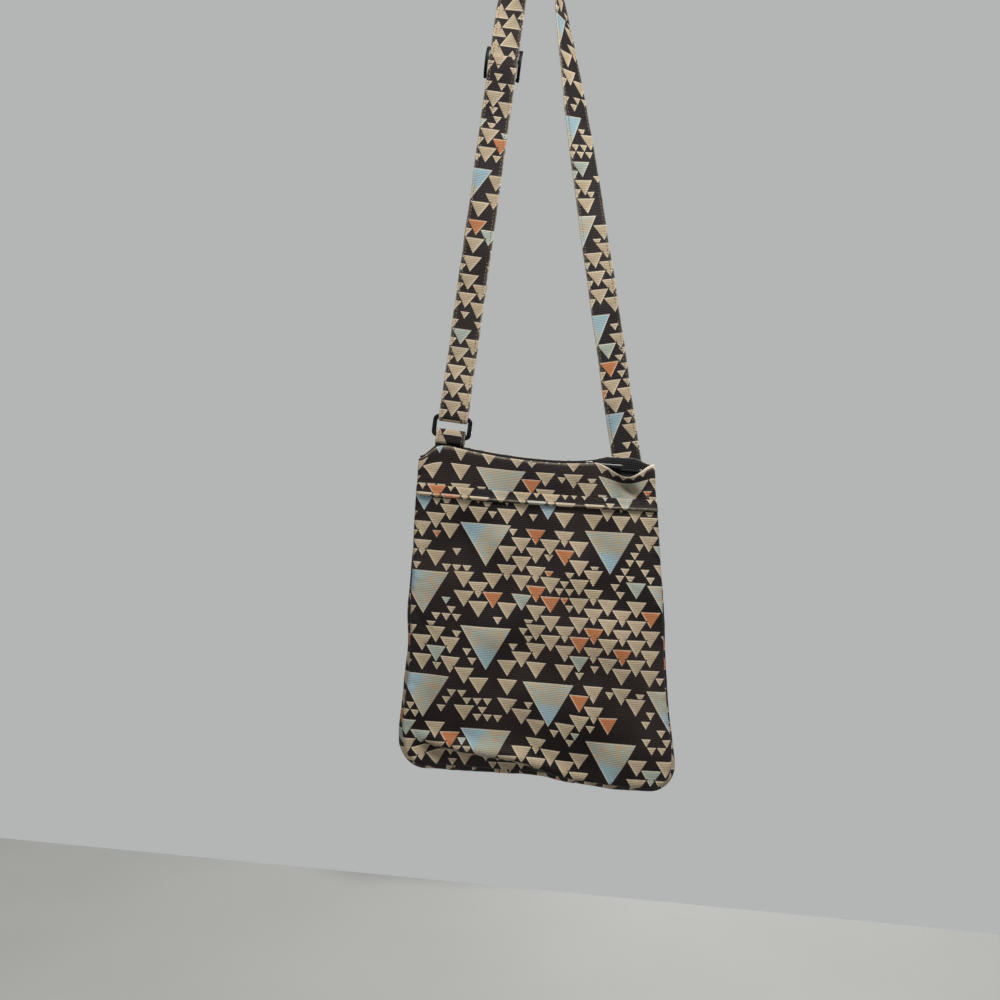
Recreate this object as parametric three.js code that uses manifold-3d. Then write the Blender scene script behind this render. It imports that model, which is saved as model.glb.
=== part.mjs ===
// Crossbody bag of printed cloth, hung by its strap over a round peg.
// Millimetres, +X to the right as seen from the front, +Y to the back, +Z up.
// The origin is the point of the strap that bears on the top of the peg.
import * as THREE from 'three';
import { mergeVertices } from 'three/addons/utils/BufferGeometryUtils.js';
import Module from 'manifold-3d';

const wasm = await Module();
wasm.setup();

// Cloth and clearances
const CLOTH = 1.5;
const LINING = 0.6;
const CLEARANCE = 0.3;
const LINING_CLEARANCE = 0.5;

// Bag body
const BAG_HEIGHT = 279;
const TOP_WIDTH = 204;
const BOTTOM_WIDTH = 242;
const CORNER_RADIUS = 25;
const MOUTH_DEPTH = 14;
const BASE_DEPTH = 26;
const TOP_BAND = 30;
const FRONT_CROWN = 1;
const BACK_CROWN = 3;
const FOLD_DEPTH = 0.8;
const BASE_ROLL = 3;
const ROLL_HEIGHT = 22;
const SEAM_INSET = 0.4;
// The bag hangs askew: its top and bottom edges drop this much per millimetre to the right.
const TOP_SLOPE = 0.07;

// Front slip pocket and the binding folded over its mouth
const POCKET_DROP = 31;
const POCKET_ROOM = 8;
const HEM_HEIGHT = 8;
const HEM_DROOP = 1.5;
const HEM_DROOP_REACH = 60;
const BINDING = 0.8;

// Zip along the mouth, open at its right end, where the front edge sags
const ZIP_DROP = 5.4;
const ZIP_END_ROOM = 10.1;
const TAPE = 0.8;
const TAPE_LEG = 8;
const TAPE_END = 6;
const TAPE_CLEARANCE = 0.5;
const COIL_WIDTH = 2;
const COIL_HEIGHT = 2.2;
const COIL_GAP = 1.2;
const STOP_LENGTH = 2.4;
const STOP_HEIGHT = 2.8;
const OPEN_FROM = 51;
const OPEN_DIP = 12.5;
const OPEN_GAPE = 8;

// Zip slider and its pull
const ZIP_SLIDER_LENGTH = 10;
const ZIP_SLIDER_PLATE = 1;
const ZIP_SLIDER_CLEARANCE = 0.4;
const ZIP_POST_WIDTH = 0.6;
const ZIP_POST_LENGTH = 2.5;
const BRIDGE_LENGTH = 6.2;
const BRIDGE_WIDTH = 1.4;
const BRIDGE_BAR = 1;
const BRIDGE_ROOM = 2.1;
const PULL_LENGTH = 30;
const PULL_WIDTH = 6;
const PULL_THICKNESS = 1.2;
const PULL_ARM = 1;
const PULL_EYE_LENGTH = 4.6;

// Strap and the peg it hangs over
const STRAP_WIDTH = 25.4;
const STRAP_THICKNESS = 1.6;
const STRAP_DROP = 482;
const STRAP_REACH = 77;
const RIGHT_REACH_EXTRA = 4;
const STRAP_SEWN = 28;
const PEG_RADIUS = 11;
const LEFT_TWIST_LENGTH = 88;
const RIGHT_TWIST_POWER = 2.4;

// Ring and the tab that ties it to the bag
const RING_HEIGHT = 20;
const RING_INNER_WIDTH = 27;
const RING_BAR = 4;
const RING_CORNER = 3;
const RING_RISE = 14;
const RING_SWING = THREE.MathUtils.degToRad(6);
const LOOP_CLEARANCE = 0.35;
const LOOP_RISE = 12;
const TAB_SEWN = 26;
const TAB_SLANT_TOP = 7.6;
const TAB_SLANT_FOOT = 2.2;
const TAB_SHOULDER = 0.6;

// Strap slider and the strap's return layer
const SLIDER_RISE = 348;
const SLIDER_HEIGHT = 28;
const SLIDER_BAR = 2.8;
const SLIDER_SIDE_CLEARANCE = 0.6;
const RETURN_SPACING = 2;
const RETURN_FLARE = 45;
const FOLD_FRONT = 6;
const FOLD_TAIL = 18;

// Facets
const BAND_ROWS = 4;
const STRAIGHT_ROWS = 7;
const MIN_ROW = 1;
const CORNER_ROWS = 5;
const LEFT_COLUMNS = 8;
const RIGHT_COLUMNS = 10;
const RUN_STEPS = 30;
const ARC_STEPS = 10;
const RETURN_STEPS = 20;
const BAR_SIDES = 10;
const RING_CORNER_STEPS = 3;

const { lerp, smoothstep } = THREE.MathUtils;
const vec = (x, y, z) => new THREE.Vector3(x, y, z);

// Worked-out places shared by several pieces
const BAG_Y = -STRAP_THICKNESS / 2 - CLEARANCE - MOUTH_DEPTH / 2;
const CORNER_TOP = BAG_HEIGHT - CORNER_RADIUS;
const COIL_INWARD = MOUTH_DEPTH / 2 - COIL_GAP / 2 - COIL_WIDTH;
const ZIP_HALF_LENGTH = TOP_WIDTH / 2 - SEAM_INSET - CLOTH - ZIP_END_ROOM;
const RING_Y = -STRAP_THICKNESS / 2 - LOOP_CLEARANCE - RING_BAR / 2;
const RING_TOP_RISE = RING_RISE + RING_HEIGHT - RING_BAR;
const FOLD_RADIUS = SLIDER_BAR / 2 + CLEARANCE + STRAP_THICKNESS / 2;
const FOLD_BACK_Y = -STRAP_THICKNESS - CLEARANCE;
const SLIDER_BAR_Y = FOLD_BACK_Y - FOLD_RADIUS;

// Closed solid through rings of points. Each ring runs out along one face and back along the other,
// so its two ends close by joining each point to the one across from it. Both faces are split along
// the same diagonals, which keeps the wall between them whole where it twists.
function loft(rings, isLoop = false) {
  const size = rings[0].length;
  const triangles = [];
  const quad = (a, b, c, d) => triangles.push(a, b, c, a, c, d);
  const spans = isLoop ? rings.length : rings.length - 1;
  for (let i = 0; i < spans; i++) {
    const here = i * size;
    const next = ((i + 1) % rings.length) * size;
    for (let j = 0; j < size; j++) {
      const k = (j + 1) % size;
      if (j < size / 2) quad(here + k, next + k, next + j, here + j);
      else quad(here + j, here + k, next + k, next + j);
    }
  }
  if (!isLoop) {
    const last = (rings.length - 1) * size;
    for (let j = 0; j < size / 2 - 1; j++) {
      const across = size - 1 - j;
      quad(j, across, across - 1, j + 1);
      quad(last + j, last + j + 1, last + across - 1, last + across);
    }
  }
  return outwardGeometry(rings.flat(), triangles);
}

function outwardGeometry(points, triangles) {
  let volume = 0;
  for (let i = 0; i < triangles.length; i += 3) {
    const [a, b, c] = [points[triangles[i]], points[triangles[i + 1]], points[triangles[i + 2]]];
    volume += a.dot(vec(0, 0, 0).crossVectors(b, c));
  }
  const geometry = new THREE.BufferGeometry().setFromPoints(points);
  geometry.setIndex(volume < 0 ? triangles.toReversed() : triangles);
  return geometry;
}

function toSolid(geometry) {
  const bare = geometry.clone();
  bare.deleteAttribute('normal');
  bare.deleteAttribute('uv');
  const merged = mergeVertices(bare);
  const vertProperties = new Float32Array(merged.attributes.position.array);
  const triVerts = new Uint32Array(merged.index.array);
  return new wasm.Manifold(new wasm.Mesh({ numProp: 3, vertProperties, triVerts }));
}

function join(geometries) {
  const mesh = geometries.map(toSolid).reduce((whole, piece) => whole.add(piece)).getMesh();
  const geometry = new THREE.BufferGeometry();
  geometry.setAttribute('position', new THREE.BufferAttribute(mesh.vertProperties, 3));
  geometry.setIndex(new THREE.BufferAttribute(mesh.triVerts, 1));
  return geometry;
}

function block(from, to) {
  const size = to.clone().sub(from);
  const middle = from.clone().add(to).multiplyScalar(0.5);
  return new THREE.BoxGeometry(size.x, size.y, size.z).translate(middle.x, middle.y, middle.z);
}

// Shape of the bag. u runs to the right, v down from the top edge.
function halfWidth(v, inset = 0) {
  const side = lerp(TOP_WIDTH, BOTTOM_WIDTH, v / BAG_HEIGHT) / 2 - inset;
  const radius = CORNER_RADIUS - inset;
  const down = Math.min(Math.max(v - CORNER_TOP, 0), radius);
  return side - radius + Math.sqrt(radius * radius - down * down);
}

function topEdgeZ(u) {
  return -STRAP_DROP - TOP_SLOPE * u;
}

function halfDepth(v) {
  const swell = smoothstep(v, TOP_BAND, BAG_HEIGHT - TOP_BAND);
  const roll = Math.max(0, (v - BAG_HEIGHT + ROLL_HEIGHT) / ROLL_HEIGHT);
  return lerp(MOUTH_DEPTH, BASE_DEPTH, swell) / 2 - BASE_ROLL * roll * roll;
}

// Crown of a face with three soft hanging folds, flat along the seams and in the top band.
function crown(u, v, height) {
  const s = Math.min(1, Math.abs(u) / halfWidth(v));
  const below = smoothstep(v, TOP_BAND, BAG_HEIGHT / 2);
  const above = 1 - smoothstep(v, BAG_HEIGHT / 2, BAG_HEIGHT);
  return (height + FOLD_DEPTH * Math.cos(3 * Math.PI * s)) * (1 - s * s) * below * above;
}

// How far the mouth is open: 1 at the lowest point of the sagging front edge, 0 where it is shut.
function openness(u, v) {
  const along = (u - OPEN_FROM) / (TOP_WIDTH / 2 - OPEN_FROM);
  if (along <= 0 || along >= 1) return 0;
  const fade = Math.max(0, 1 - v / POCKET_DROP);
  return (Math.sin(Math.PI * along) * fade) ** 2;
}

// Points a given distance inward from the outer face of each panel
function frontPoint(u, v, inward) {
  const open = openness(u, v);
  const outerY = BAG_Y - halfDepth(v) - crown(u, v, FRONT_CROWN) - OPEN_GAPE * open;
  return vec(u, outerY + inward, topEdgeZ(u) - v - OPEN_DIP * open);
}

function backPoint(u, v, inward) {
  const outerY = BAG_Y + halfDepth(v) + crown(u, v, BACK_CROWN);
  return vec(u, outerY - inward, topEdgeZ(u) - v);
}

function pocketPoint(u, v, inward) {
  const s = Math.min(1, Math.abs(u) / halfWidth(v));
  const seam = BINDING + 2 * CLEARANCE;
  const above = 1 - smoothstep(v, BAG_HEIGHT / 2, BAG_HEIGHT);
  const room = lerp(seam, POCKET_ROOM, (1 - s ** 4) * above);
  const droop = HEM_DROOP * (1 - s * s) * Math.max(0, 1 - (v - POCKET_DROP) / HEM_DROOP_REACH);
  return frontPoint(u, v, inward - CLOTH - room).add(vec(0, 0, -droop));
}

// Columns across a panel as shares of its half width, closer where the mouth is open
function panelColumns() {
  const fork = OPEN_FROM / (TOP_WIDTH / 2);
  const columns = [];
  for (let i = 0; i < LEFT_COLUMNS; i++) columns.push(lerp(-1, fork, i / LEFT_COLUMNS));
  for (let i = 0; i <= RIGHT_COLUMNS; i++) columns.push(lerp(fork, 1, i / RIGHT_COLUMNS));
  return columns;
}
const COLUMNS = panelColumns();

// Rows down a panel: close in the band above the pocket, set by angle in the rounded corners
function panelRows(top, inset) {
  const rows = [top];
  const addRow = (v) => {
    if (v > rows.at(-1) + MIN_ROW) rows.push(v);
  };
  for (let i = 1; i < BAND_ROWS; i++) addRow((POCKET_DROP * i) / BAND_ROWS);
  for (let i = 0; i < STRAIGHT_ROWS; i++) addRow(lerp(POCKET_DROP, CORNER_TOP, i / STRAIGHT_ROWS));
  for (let i = 0; i <= CORNER_ROWS; i++) {
    addRow(CORNER_TOP + (CORNER_RADIUS - inset) * Math.sin((Math.PI / 2) * (i / CORNER_ROWS)));
  }
  return rows;
}

function panel(pointAt, { top, inset, inward, thickness }) {
  const rings = panelRows(top, inset).map((v) => {
    const half = halfWidth(v, inset);
    const outer = COLUMNS.map((s) => pointAt(s * half, v, inward));
    const inner = COLUMNS.map((s) => pointAt(s * half, v, inward + thickness));
    return [...outer, ...inner.reverse()];
  });
  return loft(rings);
}

function outerPanel(pointAt, top = 0) {
  return panel(pointAt, { top, inset: 0, inward: 0, thickness: CLOTH });
}

function liningPanel(pointAt) {
  const top = ZIP_DROP + TAPE / 2 + TAPE_LEG + CLEARANCE;
  const inset = SEAM_INSET + CLOTH + LINING_CLEARANCE;
  return panel(pointAt, { top, inset, inward: CLOTH + LINING_CLEARANCE, thickness: LINING });
}

// Binding: a strip folded over the top edge of the pocket panel
function pocketBinding() {
  const foot = POCKET_DROP + HEM_HEIGHT;
  const fold = POCKET_DROP + BINDING;
  const frontIn = -CLEARANCE;
  const backIn = CLOTH + CLEARANCE;
  const rings = COLUMNS.map((s) => {
    const u = s * halfWidth(POCKET_DROP);
    return [
      pocketPoint(u, foot, frontIn - BINDING),
      pocketPoint(u, POCKET_DROP, frontIn - BINDING),
      pocketPoint(u, POCKET_DROP, backIn + BINDING),
      pocketPoint(u, foot, backIn + BINDING),
      pocketPoint(u, foot, backIn),
      pocketPoint(u, fold, backIn),
      pocketPoint(u, fold, frontIn),
      pocketPoint(u, foot, frontIn),
    ];
  });
  return loft(rings);
}

// Gusset: one strip down the left side, along the base and up the right side
function gusset() {
  const ringAt = (side, outer, inner) => {
    const corner = ([u, v], back) => {
      const reach = halfDepth(v) - CLOTH - CLEARANCE;
      return vec(side * u, BAG_Y + back * reach, topEdgeZ(side * u) - v);
    };
    return [corner(outer, -1), corner(outer, 1), corner(inner, 1), corner(inner, -1)];
  };
  const outerRows = panelRows(ZIP_DROP, SEAM_INSET);
  const innerInset = SEAM_INSET + CLOTH;
  const innerRows = panelRows(ZIP_DROP, innerInset);
  const half = (side) => outerRows.map((v, i) => {
    const outer = [halfWidth(v, SEAM_INSET), v];
    const inner = [halfWidth(innerRows[i], innerInset), innerRows[i]];
    return ringAt(side, outer, inner);
  });
  return loft([...half(-1), ...half(1).reverse()]);
}

// Zip: each half has a tape, bent down along its panel, and a coil along the tape's edge.
// Its stations run from right to left, so that the tape is split along the panel's diagonals.
function zipStations(half) {
  const inside = COLUMNS.map((s) => (s * TOP_WIDTH) / 2).filter((u) => Math.abs(u) < half - MIN_ROW);
  return [half, ...inside.reverse(), -half];
}

function zipTape(pointAt) {
  const legOuter = CLOTH + TAPE_CLEARANCE;
  const legInner = legOuter + TAPE;
  const ledgeEnd = COIL_INWARD - CLEARANCE;
  const upper = ZIP_DROP - TAPE / 2;
  const lower = ZIP_DROP + TAPE / 2;
  const foot = lower + TAPE_LEG;
  const rings = zipStations(ZIP_HALF_LENGTH + TAPE_END).map((u) => [
    pointAt(u, foot, legOuter),
    pointAt(u, upper, legOuter),
    pointAt(u, upper, ledgeEnd),
    pointAt(u, lower, ledgeEnd),
    pointAt(u, lower, legInner),
    pointAt(u, foot, legInner),
  ]);
  return loft(rings);
}

function zipStrip(pointAt, stations, height) {
  const upper = ZIP_DROP - height / 2;
  const lower = ZIP_DROP + height / 2;
  const rings = stations.map((u) => [
    pointAt(u, upper, COIL_INWARD),
    pointAt(u, upper, COIL_INWARD + COIL_WIDTH),
    pointAt(u, lower, COIL_INWARD + COIL_WIDTH),
    pointAt(u, lower, COIL_INWARD),
  ]);
  return loft(rings);
}

function zipCoil(pointAt) {
  return zipStrip(pointAt, zipStations(ZIP_HALF_LENGTH), COIL_HEIGHT);
}

function zipTopStop(pointAt) {
  const start = ZIP_HALF_LENGTH + CLEARANCE;
  return zipStrip(pointAt, [start, start + STOP_LENGTH], STOP_HEIGHT);
}

function zipBottomStop() {
  const half = COIL_GAP / 2 + COIL_WIDTH;
  const end = -ZIP_HALF_LENGTH - CLEARANCE;
  const z = topEdgeZ(end) - ZIP_DROP;
  const low = vec(end - STOP_LENGTH, BAG_Y - half, z - STOP_HEIGHT / 2);
  return block(low, vec(end, BAG_Y + half, z + STOP_HEIGHT / 2));
}

// Zip slider in its own axes: x along the zip towards its open end, z up
const ZIP_PLATE_FOOT = COIL_HEIGHT / 2 + ZIP_SLIDER_CLEARANCE;
const ZIP_PLATE_TOP = ZIP_PLATE_FOOT + ZIP_SLIDER_PLATE;
const PULL_PIVOT_Z = ZIP_PLATE_TOP + BRIDGE_ROOM / 2;

function zipSlider() {
  const flangeIn = COIL_GAP / 2 + COIL_WIDTH + ZIP_SLIDER_CLEARANCE;
  const halfY = flangeIn + ZIP_SLIDER_PLATE;
  const halfX = ZIP_SLIDER_LENGTH / 2;
  const lip = TAPE / 2 + ZIP_SLIDER_CLEARANCE;
  const pieces = [];
  for (const up of [-1, 1]) {
    const heights = [up * ZIP_PLATE_FOOT, up * ZIP_PLATE_TOP].sort((a, b) => a - b);
    pieces.push(block(vec(-halfX, -halfY, heights[0]), vec(halfX, halfY, heights[1])));
    const lips = [up * lip, up * ZIP_PLATE_TOP].sort((a, b) => a - b);
    pieces.push(block(vec(-halfX, -halfY, lips[0]), vec(halfX, -flangeIn, lips[1])));
    pieces.push(block(vec(-halfX, flangeIn, lips[0]), vec(halfX, halfY, lips[1])));
  }
  const postHalf = ZIP_POST_WIDTH / 2;
  const postStart = halfX - ZIP_POST_LENGTH;
  pieces.push(block(vec(postStart, -postHalf, -ZIP_PLATE_TOP), vec(halfX, postHalf, ZIP_PLATE_TOP)));
  return join([...pieces, ...zipBridge()]);
}

function zipBridge() {
  const end = BRIDGE_LENGTH / 2;
  const side = BRIDGE_WIDTH / 2;
  const under = ZIP_PLATE_TOP + BRIDGE_ROOM;
  const top = under + BRIDGE_BAR;
  return [
    block(vec(-end, -side, under), vec(end, side, top)),
    block(vec(-end, -side, ZIP_PLATE_FOOT), vec(-end + BRIDGE_BAR, side, top)),
    block(vec(end - BRIDGE_BAR, -side, ZIP_PLATE_FOOT), vec(end, side, top)),
  ];
}

// Zip pull: a flat tongue with an eye, whose cross bar turns under the slider's bridge
function zipPull() {
  const half = PULL_WIDTH / 2;
  const barHalf = PULL_THICKNESS / 2;
  const outline = new THREE.Shape();
  outline.moveTo(-barHalf, -half);
  outline.lineTo(PULL_LENGTH - half, -half);
  outline.absarc(PULL_LENGTH - half, 0, half, -Math.PI / 2, Math.PI / 2);
  outline.lineTo(-barHalf, half);
  outline.closePath();
  const eyeHalf = half - PULL_ARM;
  const eye = new THREE.Path();
  eye.moveTo(barHalf, -eyeHalf);
  eye.lineTo(barHalf, eyeHalf);
  eye.lineTo(barHalf + PULL_EYE_LENGTH, eyeHalf);
  eye.lineTo(barHalf + PULL_EYE_LENGTH, -eyeHalf);
  eye.closePath();
  outline.holes.push(eye);
  const options = { depth: PULL_THICKNESS, bevelEnabled: false, curveSegments: BAR_SIDES / 2 };
  return new THREE.ExtrudeGeometry(outline, options).translate(0, 0, -PULL_THICKNESS / 2);
}

// Straight run of the strap, from its crossing of the bag's top edge up to its tangent on the peg
function strapRun(side, reach) {
  const foot = vec(side * reach, 0, topEdgeZ(side * reach));
  const radius = PEG_RADIUS + STRAP_THICKNESS / 2;
  const fromPeg = foot.clone().sub(vec(0, 0, -PEG_RADIUS));
  const bearing = Math.atan2(fromPeg.z, side * fromPeg.x) + Math.acos(radius / fromPeg.length());
  const top = vec(side * radius * Math.cos(bearing), 0, -PEG_RADIUS + radius * Math.sin(bearing));
  const up = top.clone().sub(foot).normalize();
  const outward = vec(side * up.z, 0, -side * up.x);
  return { foot, top, up, outward, bearing, radius, length: top.distanceTo(foot) };
}
const LEFT_RUN = strapRun(-1, STRAP_REACH);
const RIGHT_RUN = strapRun(1, STRAP_REACH + RIGHT_REACH_EXTRA);
const LEFT_TILT = Math.atan2(LEFT_RUN.up.x, LEFT_RUN.up.z);

// Cross-section of a flat strip at a point, from its direction and the facing of its front
function stripRing(point, direction, facing, width, thickness) {
  const across = vec(0, 0, 0).crossVectors(direction, facing).multiplyScalar(width / 2);
  const through = facing.clone().multiplyScalar(thickness / 2);
  return [
    point.clone().add(across).add(through),
    point.clone().sub(across).add(through),
    point.clone().sub(across).sub(through),
    point.clone().add(across).sub(through),
  ];
}

function strapRing(point, direction, facing) {
  return stripRing(point, direction, facing, STRAP_WIDTH, STRAP_THICKNESS);
}

function twistedFacing(outward, twist) {
  return outward.clone().multiplyScalar(Math.sin(twist)).add(vec(0, -Math.cos(twist), 0));
}

// A strip whose middle line lies in the y-z plane, through hand-set or worked-out [y, z] points
function foldedStrip(path, width) {
  const points = path.map(([y, z]) => vec(0, y, z));
  const rings = points.map((point, i) => {
    const before = points[Math.max(i - 1, 0)];
    const after = points[Math.min(i + 1, points.length - 1)];
    const direction = after.clone().sub(before).normalize();
    const facing = vec(0, -direction.z, direction.y);
    return stripRing(point, direction, facing, width, STRAP_THICKNESS);
  });
  return loft(rings);
}

// Main strap: sewn end at the right, up, over the peg, down the left and round the ring's top bar
function strapMain() {
  const rings = [];
  for (let i = 0; i <= RUN_STEPS; i++) {
    const along = lerp(-STRAP_SEWN, RIGHT_RUN.length, i / RUN_STEPS);
    const share = Math.max(0, along / RIGHT_RUN.length);
    const facing = twistedFacing(RIGHT_RUN.outward, (Math.PI / 2) * share ** RIGHT_TWIST_POWER);
    const point = RIGHT_RUN.foot.clone().addScaledVector(RIGHT_RUN.up, along);
    rings.push(strapRing(point, RIGHT_RUN.up, facing));
  }
  for (let i = 1; i < ARC_STEPS; i++) {
    const angle = lerp(RIGHT_RUN.bearing, Math.PI - LEFT_RUN.bearing, i / ARC_STEPS);
    const facing = vec(Math.cos(angle), 0, Math.sin(angle));
    const point = facing.clone().multiplyScalar(RIGHT_RUN.radius).add(vec(0, 0, -PEG_RADIUS));
    rings.push(strapRing(point, vec(-Math.sin(angle), 0, Math.cos(angle)), facing));
  }
  const down = LEFT_RUN.up.clone().negate();
  for (let i = 0; i <= RUN_STEPS; i++) {
    const along = lerp(LEFT_RUN.length, RING_TOP_RISE, i / RUN_STEPS);
    const share = 1 - smoothstep(LEFT_RUN.length - along, 0, LEFT_TWIST_LENGTH);
    const facing = twistedFacing(LEFT_RUN.outward, (Math.PI / 2) * share);
    const point = LEFT_RUN.foot.clone().addScaledVector(LEFT_RUN.up, along);
    rings.push(strapRing(point, down, facing));
  }
  return loft([...rings, ...ringLoopRings()]);
}

// The turn of the main strap under the ring's top bar and up its front
function ringLoopRings() {
  const radius = -RING_Y;
  const place = (y, along) => LEFT_RUN.foot.clone().addScaledVector(LEFT_RUN.up, along).add(vec(0, y, 0));
  const rings = [];
  for (let i = 1; i <= ARC_STEPS; i++) {
    const angle = (Math.PI * i) / ARC_STEPS;
    const toBar = LEFT_RUN.up.clone().multiplyScalar(Math.sin(angle)).add(vec(0, -Math.cos(angle), 0));
    const ahead = LEFT_RUN.up.clone().multiplyScalar(-Math.cos(angle)).add(vec(0, -Math.sin(angle), 0));
    const point = place(RING_Y + radius * Math.cos(angle), RING_TOP_RISE - radius * Math.sin(angle));
    rings.push(strapRing(point, ahead, toBar));
  }
  rings.push(strapRing(place(RING_Y - radius, RING_TOP_RISE + LOOP_RISE), LEFT_RUN.up, vec(0, 1, 0)));
  return rings;
}

// Return layer of the strap, in the left run's axes: from the ring's loop up to the slider's bar
function strapReturn() {
  const start = RING_TOP_RISE + LOOP_RISE + CLEARANCE;
  const end = SLIDER_RISE - FOLD_FRONT - CLEARANCE;
  const atRing = 2 * RING_Y;
  const atSlider = SLIDER_BAR_Y - FOLD_RADIUS;
  const path = [];
  for (let i = 0; i <= RETURN_STEPS; i++) {
    const z = lerp(start, end, i / RETURN_STEPS);
    const settled = lerp(atRing, -RETURN_SPACING, smoothstep(z, start, start + RETURN_FLARE));
    path.push([lerp(settled, atSlider, smoothstep(z, end - RETURN_FLARE, end)), z]);
  }
  return foldedStrip(path, STRAP_WIDTH);
}

// End of the strap folded over the slider's middle bar
function strapEndFold() {
  const path = [[SLIDER_BAR_Y - FOLD_RADIUS, SLIDER_RISE - FOLD_FRONT]];
  for (let i = 0; i <= ARC_STEPS; i++) {
    const angle = Math.PI * (1 - i / ARC_STEPS);
    const y = SLIDER_BAR_Y + FOLD_RADIUS * Math.cos(angle);
    path.push([y, SLIDER_RISE + FOLD_RADIUS * Math.sin(angle)]);
  }
  path.push([FOLD_BACK_Y, SLIDER_RISE - FOLD_TAIL]);
  return foldedStrip(path, STRAP_WIDTH);
}

// Arched strap slider: end bars behind the main strap, middle bar in front of it
function strapSlider() {
  const endBarY = STRAP_THICKNESS / 2 + CLEARANCE + SLIDER_BAR / 2;
  const endBarZ = SLIDER_HEIGHT / 2 - SLIDER_BAR / 2;
  const railX = STRAP_WIDTH / 2 + SLIDER_SIDE_CLEARANCE + SLIDER_BAR / 2;
  const bar = (y, z) => new THREE.CylinderGeometry(SLIDER_BAR / 2, SLIDER_BAR / 2, 2 * railX, BAR_SIDES)
    .rotateZ(Math.PI / 2).translate(0, y, SLIDER_RISE + z);
  const bow = endBarY - SLIDER_BAR_Y;
  const bowRadius = (endBarZ * endBarZ + bow * bow) / (2 * bow);
  const reach = Math.asin(endBarZ / bowRadius);
  const overhang = SLIDER_BAR / 2 / bowRadius;
  const rail = (side) => {
    const rings = [];
    for (let i = 0; i <= ARC_STEPS; i++) {
      const angle = lerp(-reach - overhang, reach + overhang, i / ARC_STEPS);
      const facing = vec(0, -Math.cos(angle), Math.sin(angle));
      const centreY = SLIDER_BAR_Y + bowRadius;
      const point = vec(side * railX, centreY, SLIDER_RISE).addScaledVector(facing, bowRadius);
      const ahead = vec(0, Math.sin(angle), Math.cos(angle));
      rings.push(stripRing(point, ahead, facing, SLIDER_BAR, SLIDER_BAR));
    }
    return loft(rings);
  };
  return join([rail(-1), rail(1), bar(endBarY, -endBarZ), bar(SLIDER_BAR_Y, 0), bar(endBarY, endBarZ)]);
}

// Ring: a round bar bent to a rounded rectangle, in the left run's axes
function ring() {
  const halfX = (RING_INNER_WIDTH + RING_BAR) / 2 - RING_CORNER;
  const halfZ = (RING_HEIGHT - RING_BAR) / 2 - RING_CORNER;
  const middleZ = RING_RISE + (RING_HEIGHT - RING_BAR) / 2;
  const rings = [];
  for (let quarter = 0; quarter < 4; quarter++) {
    for (let i = 0; i <= RING_CORNER_STEPS; i++) {
      const angle = (Math.PI / 2) * (quarter + i / RING_CORNER_STEPS);
      const outward = vec(Math.cos(angle), 0, Math.sin(angle));
      const turn = (Math.PI / 2) * quarter + Math.PI / 4;
      const x = Math.sign(Math.cos(turn)) * halfX;
      const z = Math.sign(Math.sin(turn)) * halfZ;
      const middle = vec(x, RING_Y, middleZ + z).addScaledVector(outward, RING_CORNER);
      rings.push(barRing(middle, outward, vec(0, 1, 0), RING_BAR / 2));
    }
  }
  return loft(rings, true);
}

function barRing(middle, sideways, upward, radius) {
  return Array.from({ length: BAR_SIDES }, (_, i) => {
    const angle = (2 * Math.PI * i) / BAR_SIDES;
    return middle.clone()
      .addScaledVector(sideways, radius * Math.cos(angle))
      .addScaledVector(upward, radius * Math.sin(angle));
  });
}

// Tab: a strip sewn to the back panel, up and over the ring's lower bar, with room for its swing
function ringTab() {
  const swing = (RING_HEIGHT - RING_BAR) * Math.sin(RING_SWING);
  const half = RING_BAR / 2 + swing + CLEARANCE + STRAP_THICKNESS / 2;
  const flat = half - STRAP_THICKNESS;
  const crest = RING_RISE + RING_BAR / 2 + LOOP_CLEARANCE + STRAP_THICKNESS / 2;
  const shoulder = crest - TAB_SHOULDER;
  const backY = STRAP_THICKNESS + CLEARANCE;
  const path = [
    [backY, -TAB_SEWN],
    [backY, 0],
    [RING_Y + half, RING_RISE - RING_BAR / 2],
    [RING_Y + half, RING_RISE],
    [RING_Y + half - TAB_SHOULDER, shoulder],
    [RING_Y + flat, crest],
    [RING_Y - flat, crest],
    [RING_Y - half + TAB_SHOULDER, shoulder],
    [RING_Y - half, RING_RISE],
    [RING_Y - half, TAB_SLANT_TOP],
    [0, TAB_SLANT_FOOT],
    [0, -TAB_SEWN],
  ];
  return foldedStrip(path, STRAP_WIDTH);
}

function addPiece(parent, name, geometry, color, roughness, metalness = 0) {
  const mesh = new THREE.Mesh(geometry, new THREE.MeshStandardMaterial({ color, roughness, metalness }));
  mesh.name = name;
  parent.add(mesh);
}

const PRINT = '#8c8172';
const DARK_CLOTH = '#2e2a2e';
const LINING_CLOTH = '#26242a';
const BLACK_METAL = '#1b1b1d';
const PALE_METAL = '#b9b7b2';

const group = new THREE.Group();
addPiece(group, 'front_panel', outerPanel(frontPoint), PRINT, 0.9);
addPiece(group, 'back_panel', outerPanel(backPoint), PRINT, 0.9);
addPiece(group, 'pocket_panel', outerPanel(pocketPoint, POCKET_DROP + BINDING + CLEARANCE), PRINT, 0.9);
addPiece(group, 'pocket_binding', pocketBinding(), PRINT, 0.9);
addPiece(group, 'gusset', gusset(), PRINT, 0.9);
addPiece(group, 'lining_front', liningPanel(frontPoint), LINING_CLOTH, 0.85);
addPiece(group, 'lining_back', liningPanel(backPoint), LINING_CLOTH, 0.85);
addPiece(group, 'zip_tape_front', zipTape(frontPoint), DARK_CLOTH, 0.9);
addPiece(group, 'zip_tape_back', zipTape(backPoint), DARK_CLOTH, 0.9);
addPiece(group, 'zip_coil_front', zipCoil(frontPoint), DARK_CLOTH, 0.6);
addPiece(group, 'zip_coil_back', zipCoil(backPoint), DARK_CLOTH, 0.6);
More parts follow.
